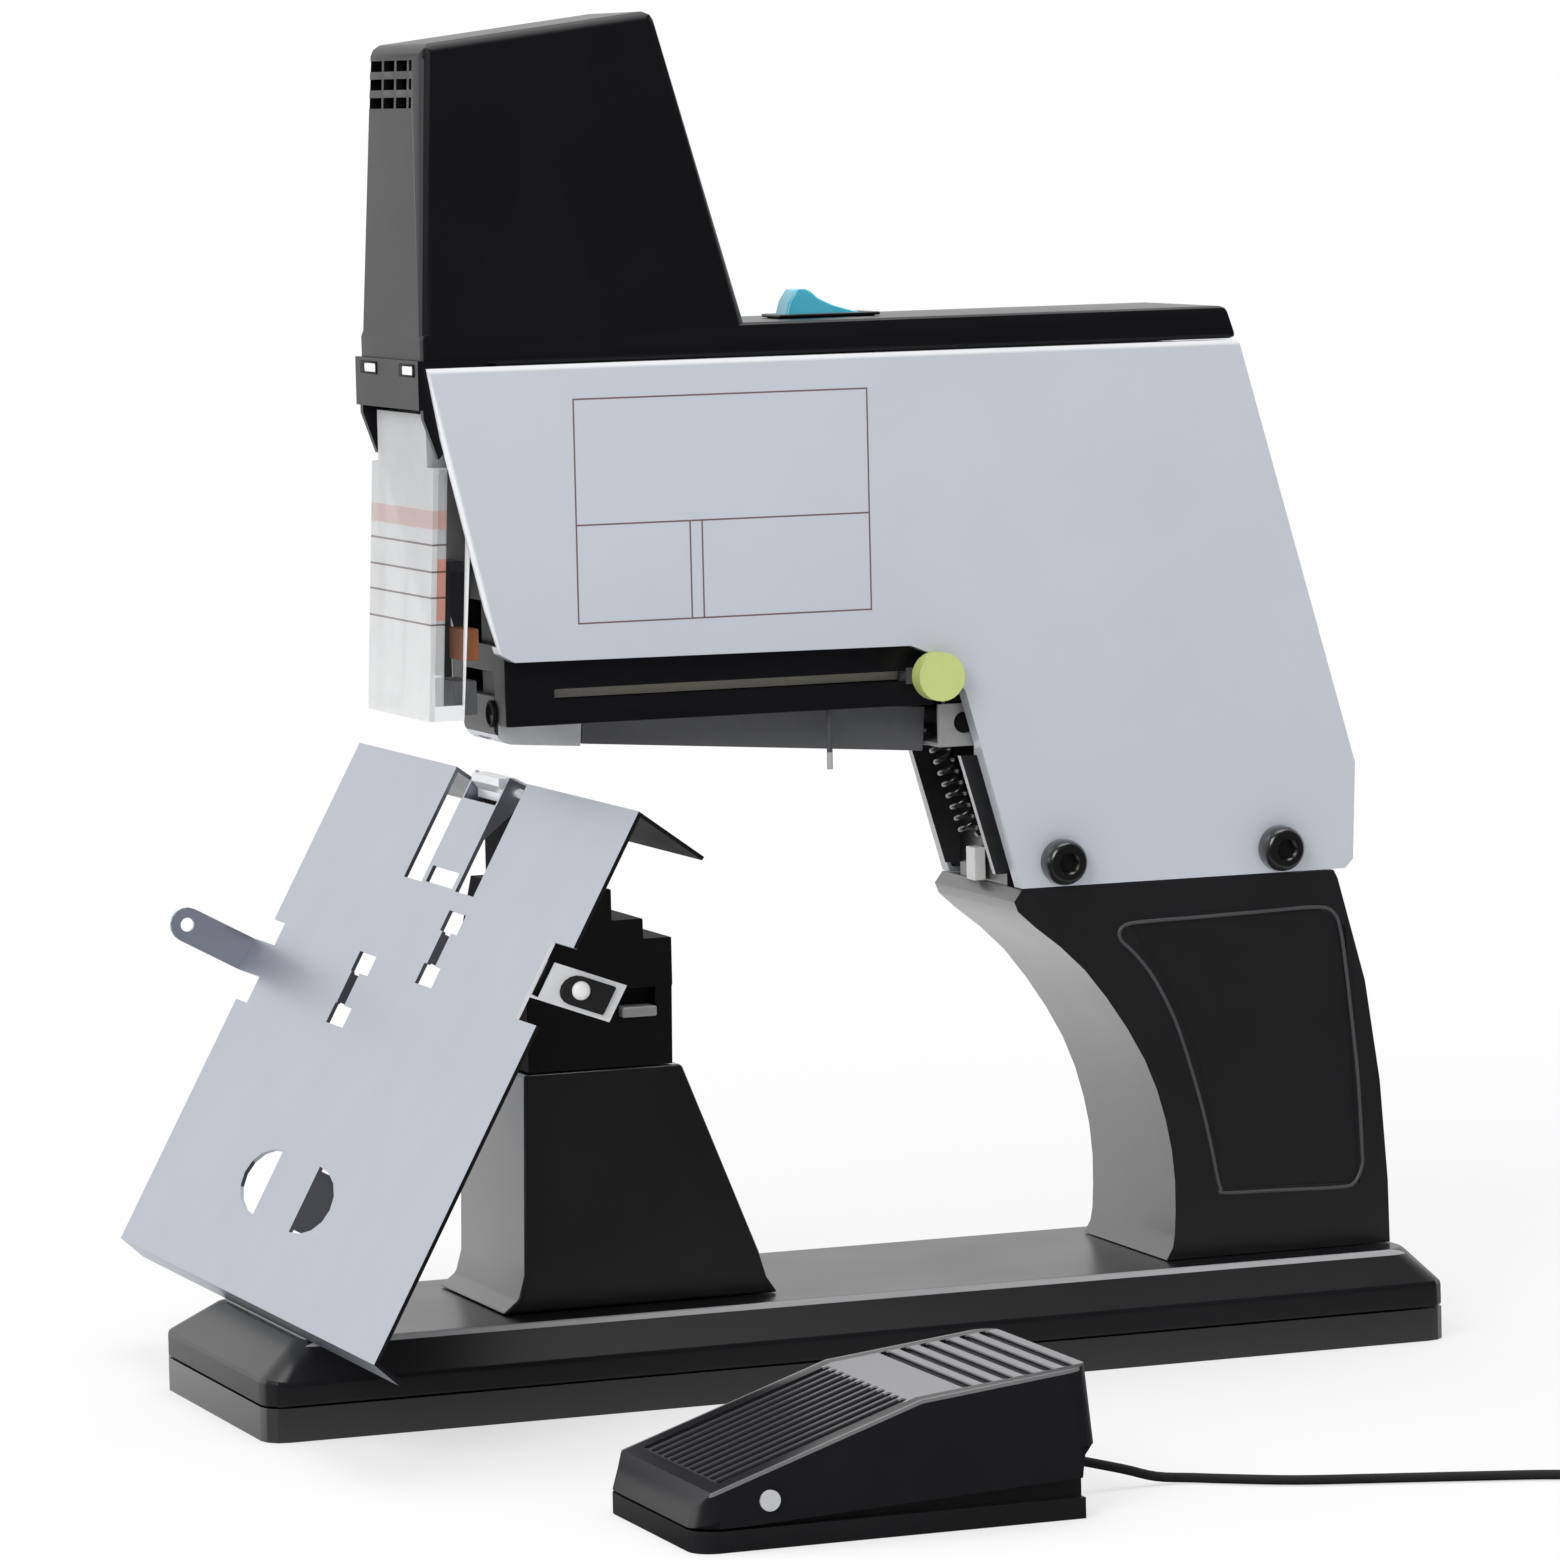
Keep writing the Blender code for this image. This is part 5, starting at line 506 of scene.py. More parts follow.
def clear_guard():
    """Misted front painted darker towards the hood as shade, frosted hood, clear side walls with rims
    painted white as highlights, and plain printed rules.
    """
    recipe = new_recipe("misted_sheet")
    _, y, z = axes_of(recipe)
    plane = y - GUARD_LEAN * z
    face = GUARD_LOW.y - GUARD_LEAN * GUARD_LOW.z
    front = plane < (face + GUARD_SHEET)
    hood = z > HOOD_BOTTOM
    wall = (1 - front) * (1 - hood)
    strip = wall * (plane < (face + STRIP))
    rules = lines(z, RULE_Z, RULE_HALF) * either(front, strip)
    bands = either(front * inside(z, BAND_Z) * 0.4, strip * inside(z, SIDE_BAND_Z) * 0.8)
    bands = either(bands, strip * inside(z, BAND_Z) * 0.6)
    rear = plane > (GUARD_HIGH.y - GUARD_LEAN * GUARD_HIGH.z - RIM)
    # Painted highlight: the cut rims of the side walls are painted white.
    rims = wall * either(rear, z < (GUARD_LOW.z + FOOT_HEIGHT))
    mist = grain(recipe, 0.012)
    cloud = grain(recipe, 0.03)
    misted = either(front * (0.66 + 0.16 * mist), hood * (0.55 + 0.1 * mist))
    # Painted shade: the mist is darker towards the hood and paler towards the foot.
    shade = ramp(z, HOOD_BOTTOM, GUARD_LOW.z)
    colour = blend(shade * 0.8 + cloud * 0.2, MIST_DARK, MIST_PALE)
    colour = blend(wall - strip, colour, WALL_GREY)
    colour = blend(rims, colour, RIM_HIGHLIGHT_WHITE)
    colour = blend(bands, colour, BAND_RED)
    colour = blend(rules * 0.85, colour, RULE_BROWN)
    see = either(either(misted, rims * 0.85), either(strip * 0.4, 0.03 + 0.02 * mist))
    see = either(see, strip * bands)
    return finished(recipe, {
        "Base Color": colour,
        "Roughness": 0.10 + 0.36 * misted,
        "Alpha": see,
    })


GUARD_CLEAR = clear_guard()
print("the guard's front leans", round(math.degrees(math.atan(GUARD_LEAN)), 1), "degrees")

# %% [markdown]
# ## A clean copy of a solid
#
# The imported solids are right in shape, but a bevel on them would trip over their loose triangles. So a
# clean copy is made first: its points are joined, and its flat triangles are paired into quads. Merging
# whole flat faces looks tidier, but a face with many corners folds over itself once it is bevelled. A
# piece made from a shape rides on the body of the node that it belongs to.

# %% Clean copies and pieces
WELD = 0.00001
FLAT = math.radians(0.5)


def clean_shape(node):
    shape = bmesh.new()
    shape.from_mesh(NODES[node].data)
    bmesh.ops.remove_doubles(shape, verts=shape.verts, dist=WELD)
    bmesh.ops.join_triangles(
        shape, faces=shape.faces, angle_face_threshold=FLAT, angle_shape_threshold=math.pi
    )
    return shape


def mesh_of(name, shape):
    """Keeps a shape as a mesh whose faces look outward."""
    mesh = bpy.data.meshes.new(name)
    bmesh.ops.recalc_face_normals(shape, faces=shape.faces)
    shape.to_mesh(mesh)
    shape.free()
    return mesh


def piece_of(name, shape, material, like):
    """A smooth piece with a finish. It rides on the body of a node."""
    mesh = mesh_of(name, shape)
    mesh.shade_smooth()
    mesh.materials.append(material)
    piece = added(name, mesh)
    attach(piece, BODY_OF[like])
    return piece


print("tools for pieces ready")

# %% [markdown]
# ## Round edges
#
# The solids' edges are knife sharp, and no made thing has such edges. A Bevel modifier rounds all edges
# past a set angle. Weighted normals then let the large flat faces decide the shading, so that only the
# rounding looks round. Edges that need a larger radius are bevelled before that, on the copy itself. A
# dressed copy stands for its node.

# %% Round edges
SHARP = math.radians(28)


def weigh_normals(piece):
    weigh = piece.modifiers.new("flat_faces", "WEIGHTED_NORMAL")
    weigh.weight, weigh.keep_sharp = 100, True


def round_edges(piece, radius, segments=3):
    edge = piece.modifiers.new("round_edges", "BEVEL")
    edge.width, edge.segments = radius, segments
    edge.limit_method, edge.angle_limit = "ANGLE", SHARP
    edge.miter_outer = "MITER_ARC"
    weigh_normals(piece)


def bevel(shape, edges, radius, segments):
    bmesh.ops.bevel(shape, geom=edges, offset=radius, segments=segments, profile=0.5, affect="EDGES")


def dressed(node, material, radius, segments=3, corners=None, corner_radius=0, corner_segments=6):
    """A clean copy of the node with round edges. Corners picks edges that get a larger radius first."""
    shape = clean_shape(node)
    if corners:
        bevel(shape, [edge for edge in shape.edges if corners(edge)], corner_radius, corner_segments)
    piece = piece_of(f"{node}_dressed", shape, material, node)
    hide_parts(node)
    if radius:
        round_edges(piece, radius, segments)
    return piece


print("edges past", round(math.degrees(SHARP)), "degrees get round")

# %% [markdown]
# ## Lines and tubes
#
# Cords, beads and springs are tubes along a line. A Catmull-Rom curve passes through all the points
# that are given, so no handles need to be placed as on a Bezier curve. A curve object with a round
# bevel then turns the line into a tube.


# %% Lines and tubes
def smooth_run(points, steps):
    """A Catmull-Rom curve through points."""
    ends = [2 * points[0] - points[1], *points, 2 * points[-1] - points[-2]]
    line = []
    for a, b, c, d in zip(ends, ends[1:], ends[2:], ends[3:]):
        for index in range(steps):
            t = index / steps
            bend = (2 * a - 5 * b + 4 * c - d) * t**2 + (3 * b - a - 3 * c + d) * t**3
            line.append((2 * b + (c - a) * t + bend) / 2)
    return line + [points[-1]]


def run_tube(name, points, radius, material, sides=6, closed=False):
    curve = bpy.data.curves.new(name, "CURVE")
    curve.dimensions = "3D"
    curve.bevel_depth, curve.bevel_resolution, curve.use_fill_caps = radius, sides, True
    spline = curve.splines.new("POLY")
    spline.points.add(len(points) - 1)
    for place, point in zip(spline.points, points):
        place.co = (*point, 1)
    spline.use_smooth, spline.use_cyclic_u = True, closed
    curve.materials.append(material)
    return added(name, curve)


print("lines and tubes ready")

# %% [markdown]
# ## The cord's coil
#
# Most of the pedal's cord is put away on the bench as a neat coil of two layers. A spiral whose radius
# shrinks by a little more than the cord's width a turn keeps the loops apart. It climbs by as much in
# the middle and widens again above.

# %% Coil
COIL_CENTRE = Vector((0.314, 0.176))
COIL_INNER = 0.0305
COIL_PITCH = 0.0034
COIL_LOOPS = 3
COIL_LAYERS = 2
COIL_STEPS = 24
COIL_TAIL = 0.026
CORD_FLOOR = 0.0015


def coil_points():
    """Loops that spiral in on the bench, climb one layer, and spiral out again."""
    loops = COIL_LOOPS * COIL_LAYERS
    outer = COIL_INNER + COIL_PITCH * COIL_LOOPS
    points = []
    for index in range(loops * COIL_STEPS + 1):
        turns = index / COIL_STEPS
        angle = 2 * math.pi * turns - math.pi / 2
        radius = outer - COIL_PITCH * min(turns, loops - turns)
        climb = min(max((turns - COIL_LOOPS) * 2 + 0.5, 0), 1)
        place = COIL_CENTRE + radius * Vector((math.cos(angle), math.sin(angle)))
        points.append(Vector((*place, CORD_FLOOR + COIL_PITCH * climb)))
    return points


print("coil of", COIL_LOOPS * COIL_LAYERS, "loops")

# %% [markdown]
# ## Pedal cord
#
# The pedal's lead is a thin limp cord, 2.8 mm across. It comes out of a grommet at the heel, drops to
# the bench and runs out of the picture to its coil, with the jack plug at its end. It follows the line
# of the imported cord, with a finer tube.

# %% Cord
CORD_RADIUS = 0.0014
RUN_STEPS = 4
GAP = 0.0003
GROMMET_END = Vector((0.236, -0.0164, 0.010))
CORD_ROUTE_MM = (
    (236.2, 4.0, 5.5), (236.6, 14.5, 2.4), (239.0, 25.0, 1.5), (246.0, 34.5, 1.5), (256.0, 50.0, 1.5),
    (265.0, 73.0, 1.5), (274.0, 97.0, 1.5), (283.0, 119.0, 1.5), (294.5, 133.0, 1.5), (308.0, 134.5, 1.5),
)


def pedal_lead():
    coil = coil_points()
    start = GROMMET_END + Vector((0, GAP, 0))
    lead_in = coil[0] - Vector((2 * CORD_RADIUS, 0, 0))
    route = [start, start + Vector((0, 2 * CORD_RADIUS, 0)), *(Vector(p) * MM for p in CORD_ROUTE_MM)]
    join = lead_in - Vector((GAP, 0, 0))
    run = smooth_run([*route, join - Vector((2 * CORD_RADIUS, 0, 0)), join], RUN_STEPS)
    tail = [coil[-1] + Vector((COIL_TAIL / 2, 0, 0)), coil[-1] + Vector((COIL_TAIL, 0, 0))]
    points = run + [lead_in] + coil + tail
    length = sum((b - a).length for a, b in zip(points, points[1:]))
    lead = run_tube("pedal_lead", points, CORD_RADIUS, RUBBER_BLACK)
    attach(lead, "frame")
    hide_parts("pedal_cord", "cord_coil")
    return length


dressed("cord_grommet", RUBBER_BLACK, 0.0003, 2)
dressed("cord_plug", MOULDED_BLACK, 0.0002, 2)
print("pedal lead", round(pedal_lead(), 3), "m long")

# %% [markdown]
# ## Base, pillar and column
#
# The base is a shallow casting on a pan, with a parting line between the two and a painted highlight,
# a pale line along its shoulder. The pillar and the column stand on it. Castings have generous edges,
# so these get the widest rounding on the machine.


# %% Castings
def repaint(material, *names):
    """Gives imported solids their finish. These sit inside, or are too small to need another edge."""
    for name in names:
        mesh = NODES[name].data
        mesh.materials.clear()
        mesh.materials.append(material)


dressed("base_pan", CAST_BLACK, 0.0010)
dressed("base_casting", BASE_BLACK, 0.0014, 4)
dressed("front_pillar", CAST_BLACK, 0.0012, 4)
column = dressed("rear_column", CAST_BLACK, 0.0009, 4)
repaint(RUBBER_BLACK, "foot_front_right", "foot_rear_right", "foot_front_left", "foot_rear_left")
print("castings dressed:", column.name, "and three more")

# %% [markdown]
# ## Beads round the column's panels
#
# Each side of the column has a shallow panel whose rim catches the light as a thin line with round
# corners. A closed tube, half sunk in the face and painted a paler grey, draws that line as a painted
# highlight and needs no change to the casting.

# %% Column beads
BEAD_RADIUS = 0.0006
BEAD_OUTLINE_MM = (
    (128.5, 48.6), (147.6, 48.1), (168.5, 47.5), (173.7, 48.8), (176.3, 54.0), (176.4, 58.8),
    (175.4, 81.3), (173.6, 100.6), (171.5, 119.9), (170.0, 130.0), (168.0, 135.0), (162.4, 137.4),
    (140.0, 137.1), (121.6, 136.7), (101.0, 136.4), (95.0, 135.2), (94.2, 131.5), (99.5, 126.1),
    (105.8, 117.8), (112.4, 104.7), (117.3, 90.1), (121.4, 75.5), (124.3, 62.6), (126.2, 52.9),
    (127.2, 49.8),
)
COLUMN_LOW, COLUMN_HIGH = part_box("rear_column")


def panel_bead(name, x):
    ring = [Vector((x, y * MM, z * MM)) for y, z in BEAD_OUTLINE_MM]
    line = smooth_run([ring[-1], *ring, ring[0], ring[1]], RUN_STEPS)[RUN_STEPS:-RUN_STEPS - 1]
    bead = run_tube(name, line, BEAD_RADIUS, BEAD_HIGHLIGHT_GREY, 4, closed=True)
    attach(bead, "frame")


panel_bead("panel_bead_right", COLUMN_HIGH.x)
panel_bead("panel_bead_left", COLUMN_LOW.x)
print("beads of", len(BEAD_OUTLINE_MM), "points on both sides of the column")

# %% [markdown]
# ## Anvil block, latch and anvil
#
# The stepped block is machined and then painted, so its edges are crisp. The anvil on the post is
# hardened steel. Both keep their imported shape, with small radii.

# %% Anvil group
dressed("anvil_block", BLOCK_BLACK, 0.0006)
dressed("lock_lever", ZINC, 0.0006)
dressed("anvil", POLISHED, 0.0004)
dressed("table_pin", POLISHED, 0.0003)
print("anvil group dressed")

# %% [markdown]
# ## Blocks and turned forms
#
# Screws, pegs and pins are small blocks or turned forms. A plain cylinder has no crown and no recess,
# so a turned form is made from a profile, as on a lathe: each point of it becomes a ring, and
# neighbouring rings are joined by faces.


# %% Blocks and turned forms
def block(low, high, radius=0.0):
    """A block between two corners, its edges rounded if a radius is given."""
    shape = bmesh.new()
    bmesh.ops.create_cube(shape, size=1)
    low, high = Vector(low), Vector(high)
    for vertex in shape.verts:
        vertex.co = Vector(low[i] + (vertex.co[i] + 0.5) * (high[i] - low[i]) for i in range(3))
    if radius:
        bevel(shape, shape.edges[:], radius, 2)
    return shape


def tilted(shape, middle, slope):
    """Lays a shape's length along a slope in the side view and moves it to its place."""
    turn = Matrix.Rotation(math.atan2(slope.y, slope.x), 4, "X")
    bmesh.ops.transform(shape, matrix=Matrix.Translation(middle) @ turn, verts=shape.verts)
    return shape


def turned(profile, centre, axis, sides=48):
    """A closed form: (radius, height) points turned about an axis through a centre."""
    shape = bmesh.new()
    turn = Vector(axis).normalized().to_track_quat("Z", "Y").to_matrix().to_4x4()
    move = Matrix.Translation(centre) @ turn
    rings = []
    for radius, height in profile:
        count = sides if radius > WELD else 1
        angles = [2 * math.pi * i / count for i in range(count)]
        places = [move @ Vector((radius * math.cos(a), radius * math.sin(a), height)) for a in angles]
        rings.append([shape.verts.new(place) for place in places])
    for low, high in zip(rings, rings[1:]):
        for i in range(sides):
            steps = (low, i), (low, i + 1), (high, i + 1), (high, i)
            distinct = list(dict.fromkeys(ring[step % len(ring)] for ring, step in steps))
            if len(distinct) > 2:
                shape.faces.new(distinct)
    for ring, flip in ((rings[0], True), (rings[-1], False)):
        if len(ring) > 1:
            shape.faces.new(ring[::-1] if flip else ring)
    return shape


print("blocks and turned forms ready")

# %% [markdown]
# ## Work table
#
# The table is one stainless sheet, 1.2 mm thick, pierced and bent. Punched edges have almost no
# radius, but even a quarter of a millimetre catches the light that draws a thin outline round every
# window. The side arm and the ear are folded from the same sheet. The ear is painted brighter, as a
# painted highlight, and the sheet's cut end and the underside of its rear flanges are painted dark, as
# painted shade. The screw and the slot on the ear are small pieces of their own.

# %% Table
EAR_FROM_X = 0.110
TABLE_END_X = 0.130
FLANGE_DOWN = -0.3
EAR_ALONG = Vector((-0.480, -0.877))
EAR_BEHIND = Vector((0.877, -0.480))
TABLE_RIDGE = Vector((-0.1005, 0.1910))
EAR_SCREW = (0.0532, 0.0143)
EAR_FACE_X = 0.11495
EAR_SCREW_RADIUS = 0.0028
SCREW_SIDES = 32
EAR_SLOT = (0.0545, 0.0024)
EAR_SLOT_HALF = (0.0060, 0.0010)
EAR_SLOT_DEPTHS = (-0.0001, 0.00012)


def on_ear(along, behind, x):
    """A point of the ear: so far along the table's slope and so far behind its face."""
    return Vector((x, *(TABLE_RIDGE + EAR_ALONG * along + EAR_BEHIND * behind)))


def paint_folds_light_and_shade(piece):
    """Paints the ear brighter, as a painted highlight, and the cut end and the flanges' underside darker,
    as painted shade.
    """
    piece.data.materials.append(EAR_HIGHLIGHT_STEEL)
    piece.data.materials.append(PAINTED_SHADE_STEEL)
    for face in piece.data.polygons:
        nearest = min(piece.data.vertices[index].co.x for index in face.vertices)
        if nearest > TABLE_END_X or (face.center.y > TABLE_RIDGE.x and face.normal.z < FLANGE_DOWN):
            face.material_index = 2
        elif nearest > EAR_FROM_X:
            face.material_index = 1


def ear_screw(x):
    rim = EAR_SCREW_RADIUS
    profile = [(0, -0.001), (rim, -0.001), (rim, 0.0003)]
    profile += [(0.8 * rim, 0.0010), (0.45 * rim, 0.0014), (0, 0.0015)]
    shape = turned(profile, on_ear(*EAR_SCREW, x), (1, 0, 0), SCREW_SIDES)
    piece_of("ear_screw", shape, PEG_WHITE, "table")


# The ear's slot is a thin near-black plate, painted shade for the opening.
def ear_slot(x):
    low, high = EAR_SLOT_DEPTHS
    shape = block((low, -EAR_SLOT_HALF[0], -EAR_SLOT_HALF[1]), (high, *EAR_SLOT_HALF))
    tilted(shape, on_ear(*EAR_SLOT, x), EAR_ALONG)
    piece_of("ear_slot", shape, SLOT_SHADE_BLACK, "ear_pad")


table = dressed("table", STAINLESS, 0.00025, 2)
paint_folds_light_and_shade(table)
dressed("ear_pad", RUBBER_BLACK, 0.0008)
ear_screw(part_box("ear_pad")[1].x)
ear_slot(EAR_FACE_X)
print("table", [round(side, 3) for side in table.dimensions], "m")

# %% [markdown]
# ## Head covers
#
# The side covers are pressed trays with soft rims, held by domed screws. The black top is a moulding:
# its tower tapers, and every edge has a clear radius.

# %% Covers
TOWER_EDGE = 0.03
TOWER_ROUNDING = 0.0018
LID_EDGE = 0.33
dressed("side_cover_right", PANEL_PRINTED, 0.0018, 5)
dressed("side_cover_left", PANEL_GREY, 0.0018, 5)
dressed("rear_cover", PANEL_GREY, 0.0004, 2)
TOP_TREE = BVHTree.FromObject(NODES["top_cover"], bpy.context.evaluated_depsgraph_get())


def tower_edge(edge):
    """A long sharp edge of the top cover that looks out into the open."""
    middle = (edge.verts[0].co + edge.verts[1].co) / 2
    sharp = len(edge.link_faces) == 2 and edge.calc_face_angle(0) > SHARP
    if not sharp or edge.calc_length() < TOWER_EDGE or middle.z < LID_EDGE:
        return False
    out = (edge.link_faces[0].normal + edge.link_faces[1].normal).normalized()
    return TOP_TREE.ray_cast(middle + out * TOWER_ROUNDING, out)[0] is None


dressed(
    "top_cover", SATIN_BLACK, 0.0004, 2,
    corners=tower_edge, corner_radius=TOWER_ROUNDING, corner_segments=5,
)
print("covers dressed")

# %% [markdown]
# ## Cutters
#
# Sockets and grooves are cut with a Boolean, which is close to how a mill or a mould makes them. Each
# cutter is a rounded block or a turned form. It is thrown away once the cut is applied.


# %% Cutters
def merged(shapes):
    """Several loose shapes as one."""
    whole = bmesh.new()
    for shape in shapes:
        part = bpy.data.meshes.new("part")
        shape.to_mesh(part)
        shape.free()
        whole.from_mesh(part)
        bpy.data.meshes.remove(part)
    return whole


def carve(piece, shapes):
    """Cuts shapes out of a piece and keeps the result as its mesh."""
    cutter = added("cutter", mesh_of("cutter", merged(shapes)))
    cut = piece.modifiers.new("cut", "BOOLEAN")
    cut.operation, cut.object, cut.solver = "DIFFERENCE", cutter, "MANIFOLD"
    bpy.context.view_layer.update()
    result = bpy.data.meshes.new_from_object(piece.evaluated_get(bpy.context.evaluated_depsgraph_get()))
    piece.modifiers.clear()
    piece.data = result
    bpy.data.objects.remove(cutter)


print("cutters ready")

# %% [markdown]
# ## Domed screws
#
# Each cover screw is a black dome with a hexagon socket. A dome needs a smooth profile, so it is turned
# afresh with an arc for its crown, and the socket is a six-sided cutter.

# %% Domed screws
CAP_RADIUS = 0.0072
CAP_HEIGHT = 0.006
CAP_STEM = 0.003
CROWN_REACH = 0.0022
CROWN_HEIGHT = 0.72 * CAP_HEIGHT
CROWN_STEPS = 10
SOCKET_RADIUS = 0.0033
SOCKET_DEPTH = 0.0038
FUNNEL_DEPTH = 0.0007
CUT_ABOVE = 0.001
TURNED_SHARP = math.radians(40)


def domed_screw(node):
    low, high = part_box(node)
    side = 1 if high.x > -low.x else -1
    face = side * max(high.x, -low.x)
    centre = Vector((face, (low.y + high.y) / 2, (low.z + high.z) / 2))
    axis = Vector((side, 0, 0))
    stem_end = -(high.x - low.x)
    profile = [(0, stem_end), (CAP_STEM, stem_end), (CAP_STEM, -CAP_HEIGHT), (CAP_RADIUS, -CAP_HEIGHT)]
    for step in range(CROWN_STEPS + 1):
        angle = math.radians(90 * step / CROWN_STEPS)
        radius = CAP_RADIUS - CROWN_REACH + CROWN_REACH * math.cos(angle)
        profile.append((radius, CROWN_HEIGHT * (math.sin(angle) - 1)))
    dome = turned([*profile, (0, 0)], centre, axis)
    piece = piece_of(f"{node}_dressed", dome, SCREW_BLACK, node)
    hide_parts(node)
    hexagon = [(SOCKET_RADIUS, -SOCKET_DEPTH), (SOCKET_RADIUS, CUT_ABOVE)]
    funnel = [(SOCKET_RADIUS * 0.9, -FUNNEL_DEPTH), (SOCKET_RADIUS * 1.35, CUT_ABOVE)]
    carve(piece, [turned(hexagon, centre, axis, 6)])
    carve(piece, [turned(funnel, centre, axis, SCREW_SIDES)])
    piece.data.set_sharp_from_angle(angle=TURNED_SHARP)


for cap in ("cap_front_right", "cap_rear_right", "cap_front_left", "cap_rear_left"):
    domed_screw(cap)
print("four domed screws,", 2 * CAP_RADIUS, "m across")

# %% [markdown]
# ## Tower bezel
#
# Below the tower's front, the top cover turns down into a short bezel with two small recesses, each
# with a white locating peg. They are separate little pieces: a dark pocket plate, painted shade that
# stands for the recess, and a peg.

# %% Bezel pegs
BEZEL_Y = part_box("top_cover")[0].y
POCKETS_X = ((-0.0253, -0.0095), (0.0130, 0.0275))
PEGS_X = ((-0.0199, -0.0099), (0.0175, 0.0265))
PEG_Z = 0.3168
POCKET_HALF = 0.0020
PEG_HALF = 0.0013
PEG_PROUD = 0.0007
SMALL_ROUNDING = 0.0003


def bezel_block(name, across, proud, sunk, half, material, slot):
    """A small block on the bezel's front: its ends in X, how far it is proud and sunk, half its height."""
    low = (across[0], BEZEL_Y - proud, PEG_Z - half)
    high = (across[1], BEZEL_Y + sunk, PEG_Z + half)
    piece_of(name, block(low, high, SMALL_ROUNDING), material, "top_cover")


for index, (pocket_x, peg_x) in enumerate(zip(POCKETS_X, PEGS_X)):
    pocket = (pocket_x, PEG_PROUD / 2, PEG_PROUD, POCKET_HALF)
    bezel_block(f"bezel_pocket_{index}", *pocket, SLOT_SHADE_BLACK, "painted_black")
    peg = (peg_x, PEG_PROUD, 0, PEG_HALF)
    bezel_block(f"bezel_peg_{index}", *peg, PEG_WHITE, "white_plastic")
print("bezel pegs at", PEGS_X)

# %% [markdown]
# ## Rocker switch
#
# The switch is the one bright spot on the lid: a clear cyan rocker in a black frame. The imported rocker
# has the right outline, and a wide rounding gives it the soft, wet look of a moulded lens.

# %% Switch
dressed("switch_housing", MOULDED_BLACK, 0.0004, 2)
dressed("rocker", ROCKER_CYAN, 0.0008, 4)
print("switch dressed")

# %% [markdown]
# ## Head front and guard
#
# Behind the clear guard sit a dark bracket, a bronze block and a grey block. The guard's thin walls
# need only a touch of rounding, so that their rims shine.

# %% Head front
dressed("head_bracket", DARK_STEEL, 0.0004)
dressed("bronze_block", BRONZE, 0.0005)
dressed("head_block", GREY_STEEL, 0.0006)
dressed("guard", GUARD_CLEAR, 0.0003, 2)
repaint(POLISHED, "guard_pin")
print("head front dressed")

# %% [markdown]
# ## Two tones on one solid
#
# The paper stop is dark, with a bare end where it wears against the sheets. The magazine's nose is
# bright at the lip that meets the sheets and dark above it. Each could be two pieces, but a mask by
# height gives one solid its two tones.

# %% Slider and nose finishes
PIN_LIGHT_BELOW = 0.1942
MAGAZINE_TONE = (0.085, 0.087, 0.093)
PIN_TONE = (0.42, 0.42, 0.43)
NOSE_BRIGHT, NOSE_DULL = (0.86, 0.87, 0.89), (0.74, 0.75, 0.78)
NOSE_DARK = (0.030, 0.030, 0.033)
NOSE_DARK_FROM = 0.2045
NOSE_FRONT_DEPTH = 0.0015


def slider_finish():
    """Dark as the magazine, with a bare end where the paper stop wears against sheets."""
    recipe = new_recipe("slider_dark")
    z = axes_of(recipe)[2]
    fine = grain(recipe, 0.0006, FINE_DETAIL)
    tone = blend(fine, tuple(channel * 0.8 for channel in MAGAZINE_TONE), MAGAZINE_TONE)
    return finished(recipe, {
        "Base Color": blend(z < PIN_LIGHT_BELOW, tone, PIN_TONE),
        "Roughness": 0.36 + 0.10 * fine,
        "Normal": relief(fine, 0.1, 0.00001),
    })


def nose_finish():
    """Bright steel at the lip that meets the sheets, and dark above it on the nose's front."""
    recipe = new_recipe("nose_steel")
    _, y, z = axes_of(recipe)
    mottle = grain(recipe, 0.002, FINE_DETAIL)
    coated = (z > NOSE_DARK_FROM) * (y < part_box("magazine_nose")[0].y + NOSE_FRONT_DEPTH)
    tone = blend(mottle, NOSE_DULL, NOSE_BRIGHT)
    return finished(recipe, {
        "Base Color": blend(coated, tone, NOSE_DARK),
        "Metallic": 0.4 - 0.4 * coated,
        "Roughness": 0.32 + 0.08 * mottle,
        "Normal": relief(mottle, 0.2, 0.00001),
    })


print("paper stop and nose have two tones")

# %% [markdown]
# ## Lower arm, gauge and magazine
#
# The lower arm is a folded black cover with a long groove. A slider runs in the groove and carries the
# paper stop and the green knob. The rail behind the groove is held by a dark strip, which also shuts
# out the light. The magazine hangs below it, grey behind, with a round screw in its nose. Strip and
# screw have no solid of their own, so they are added here.

# %% Arm and magazine
STRIP_X = (0.0164, 0.0176)
STRIP_Z = (0.2125, 0.2222)
STRIP_BEHIND = 0.002
NOSE_SCREW = Vector((0.0130, 0.2110))
NOSE_SCREW_RADIUS = 0.0042
NOSE_BORE = 0.75 * NOSE_SCREW_RADIUS


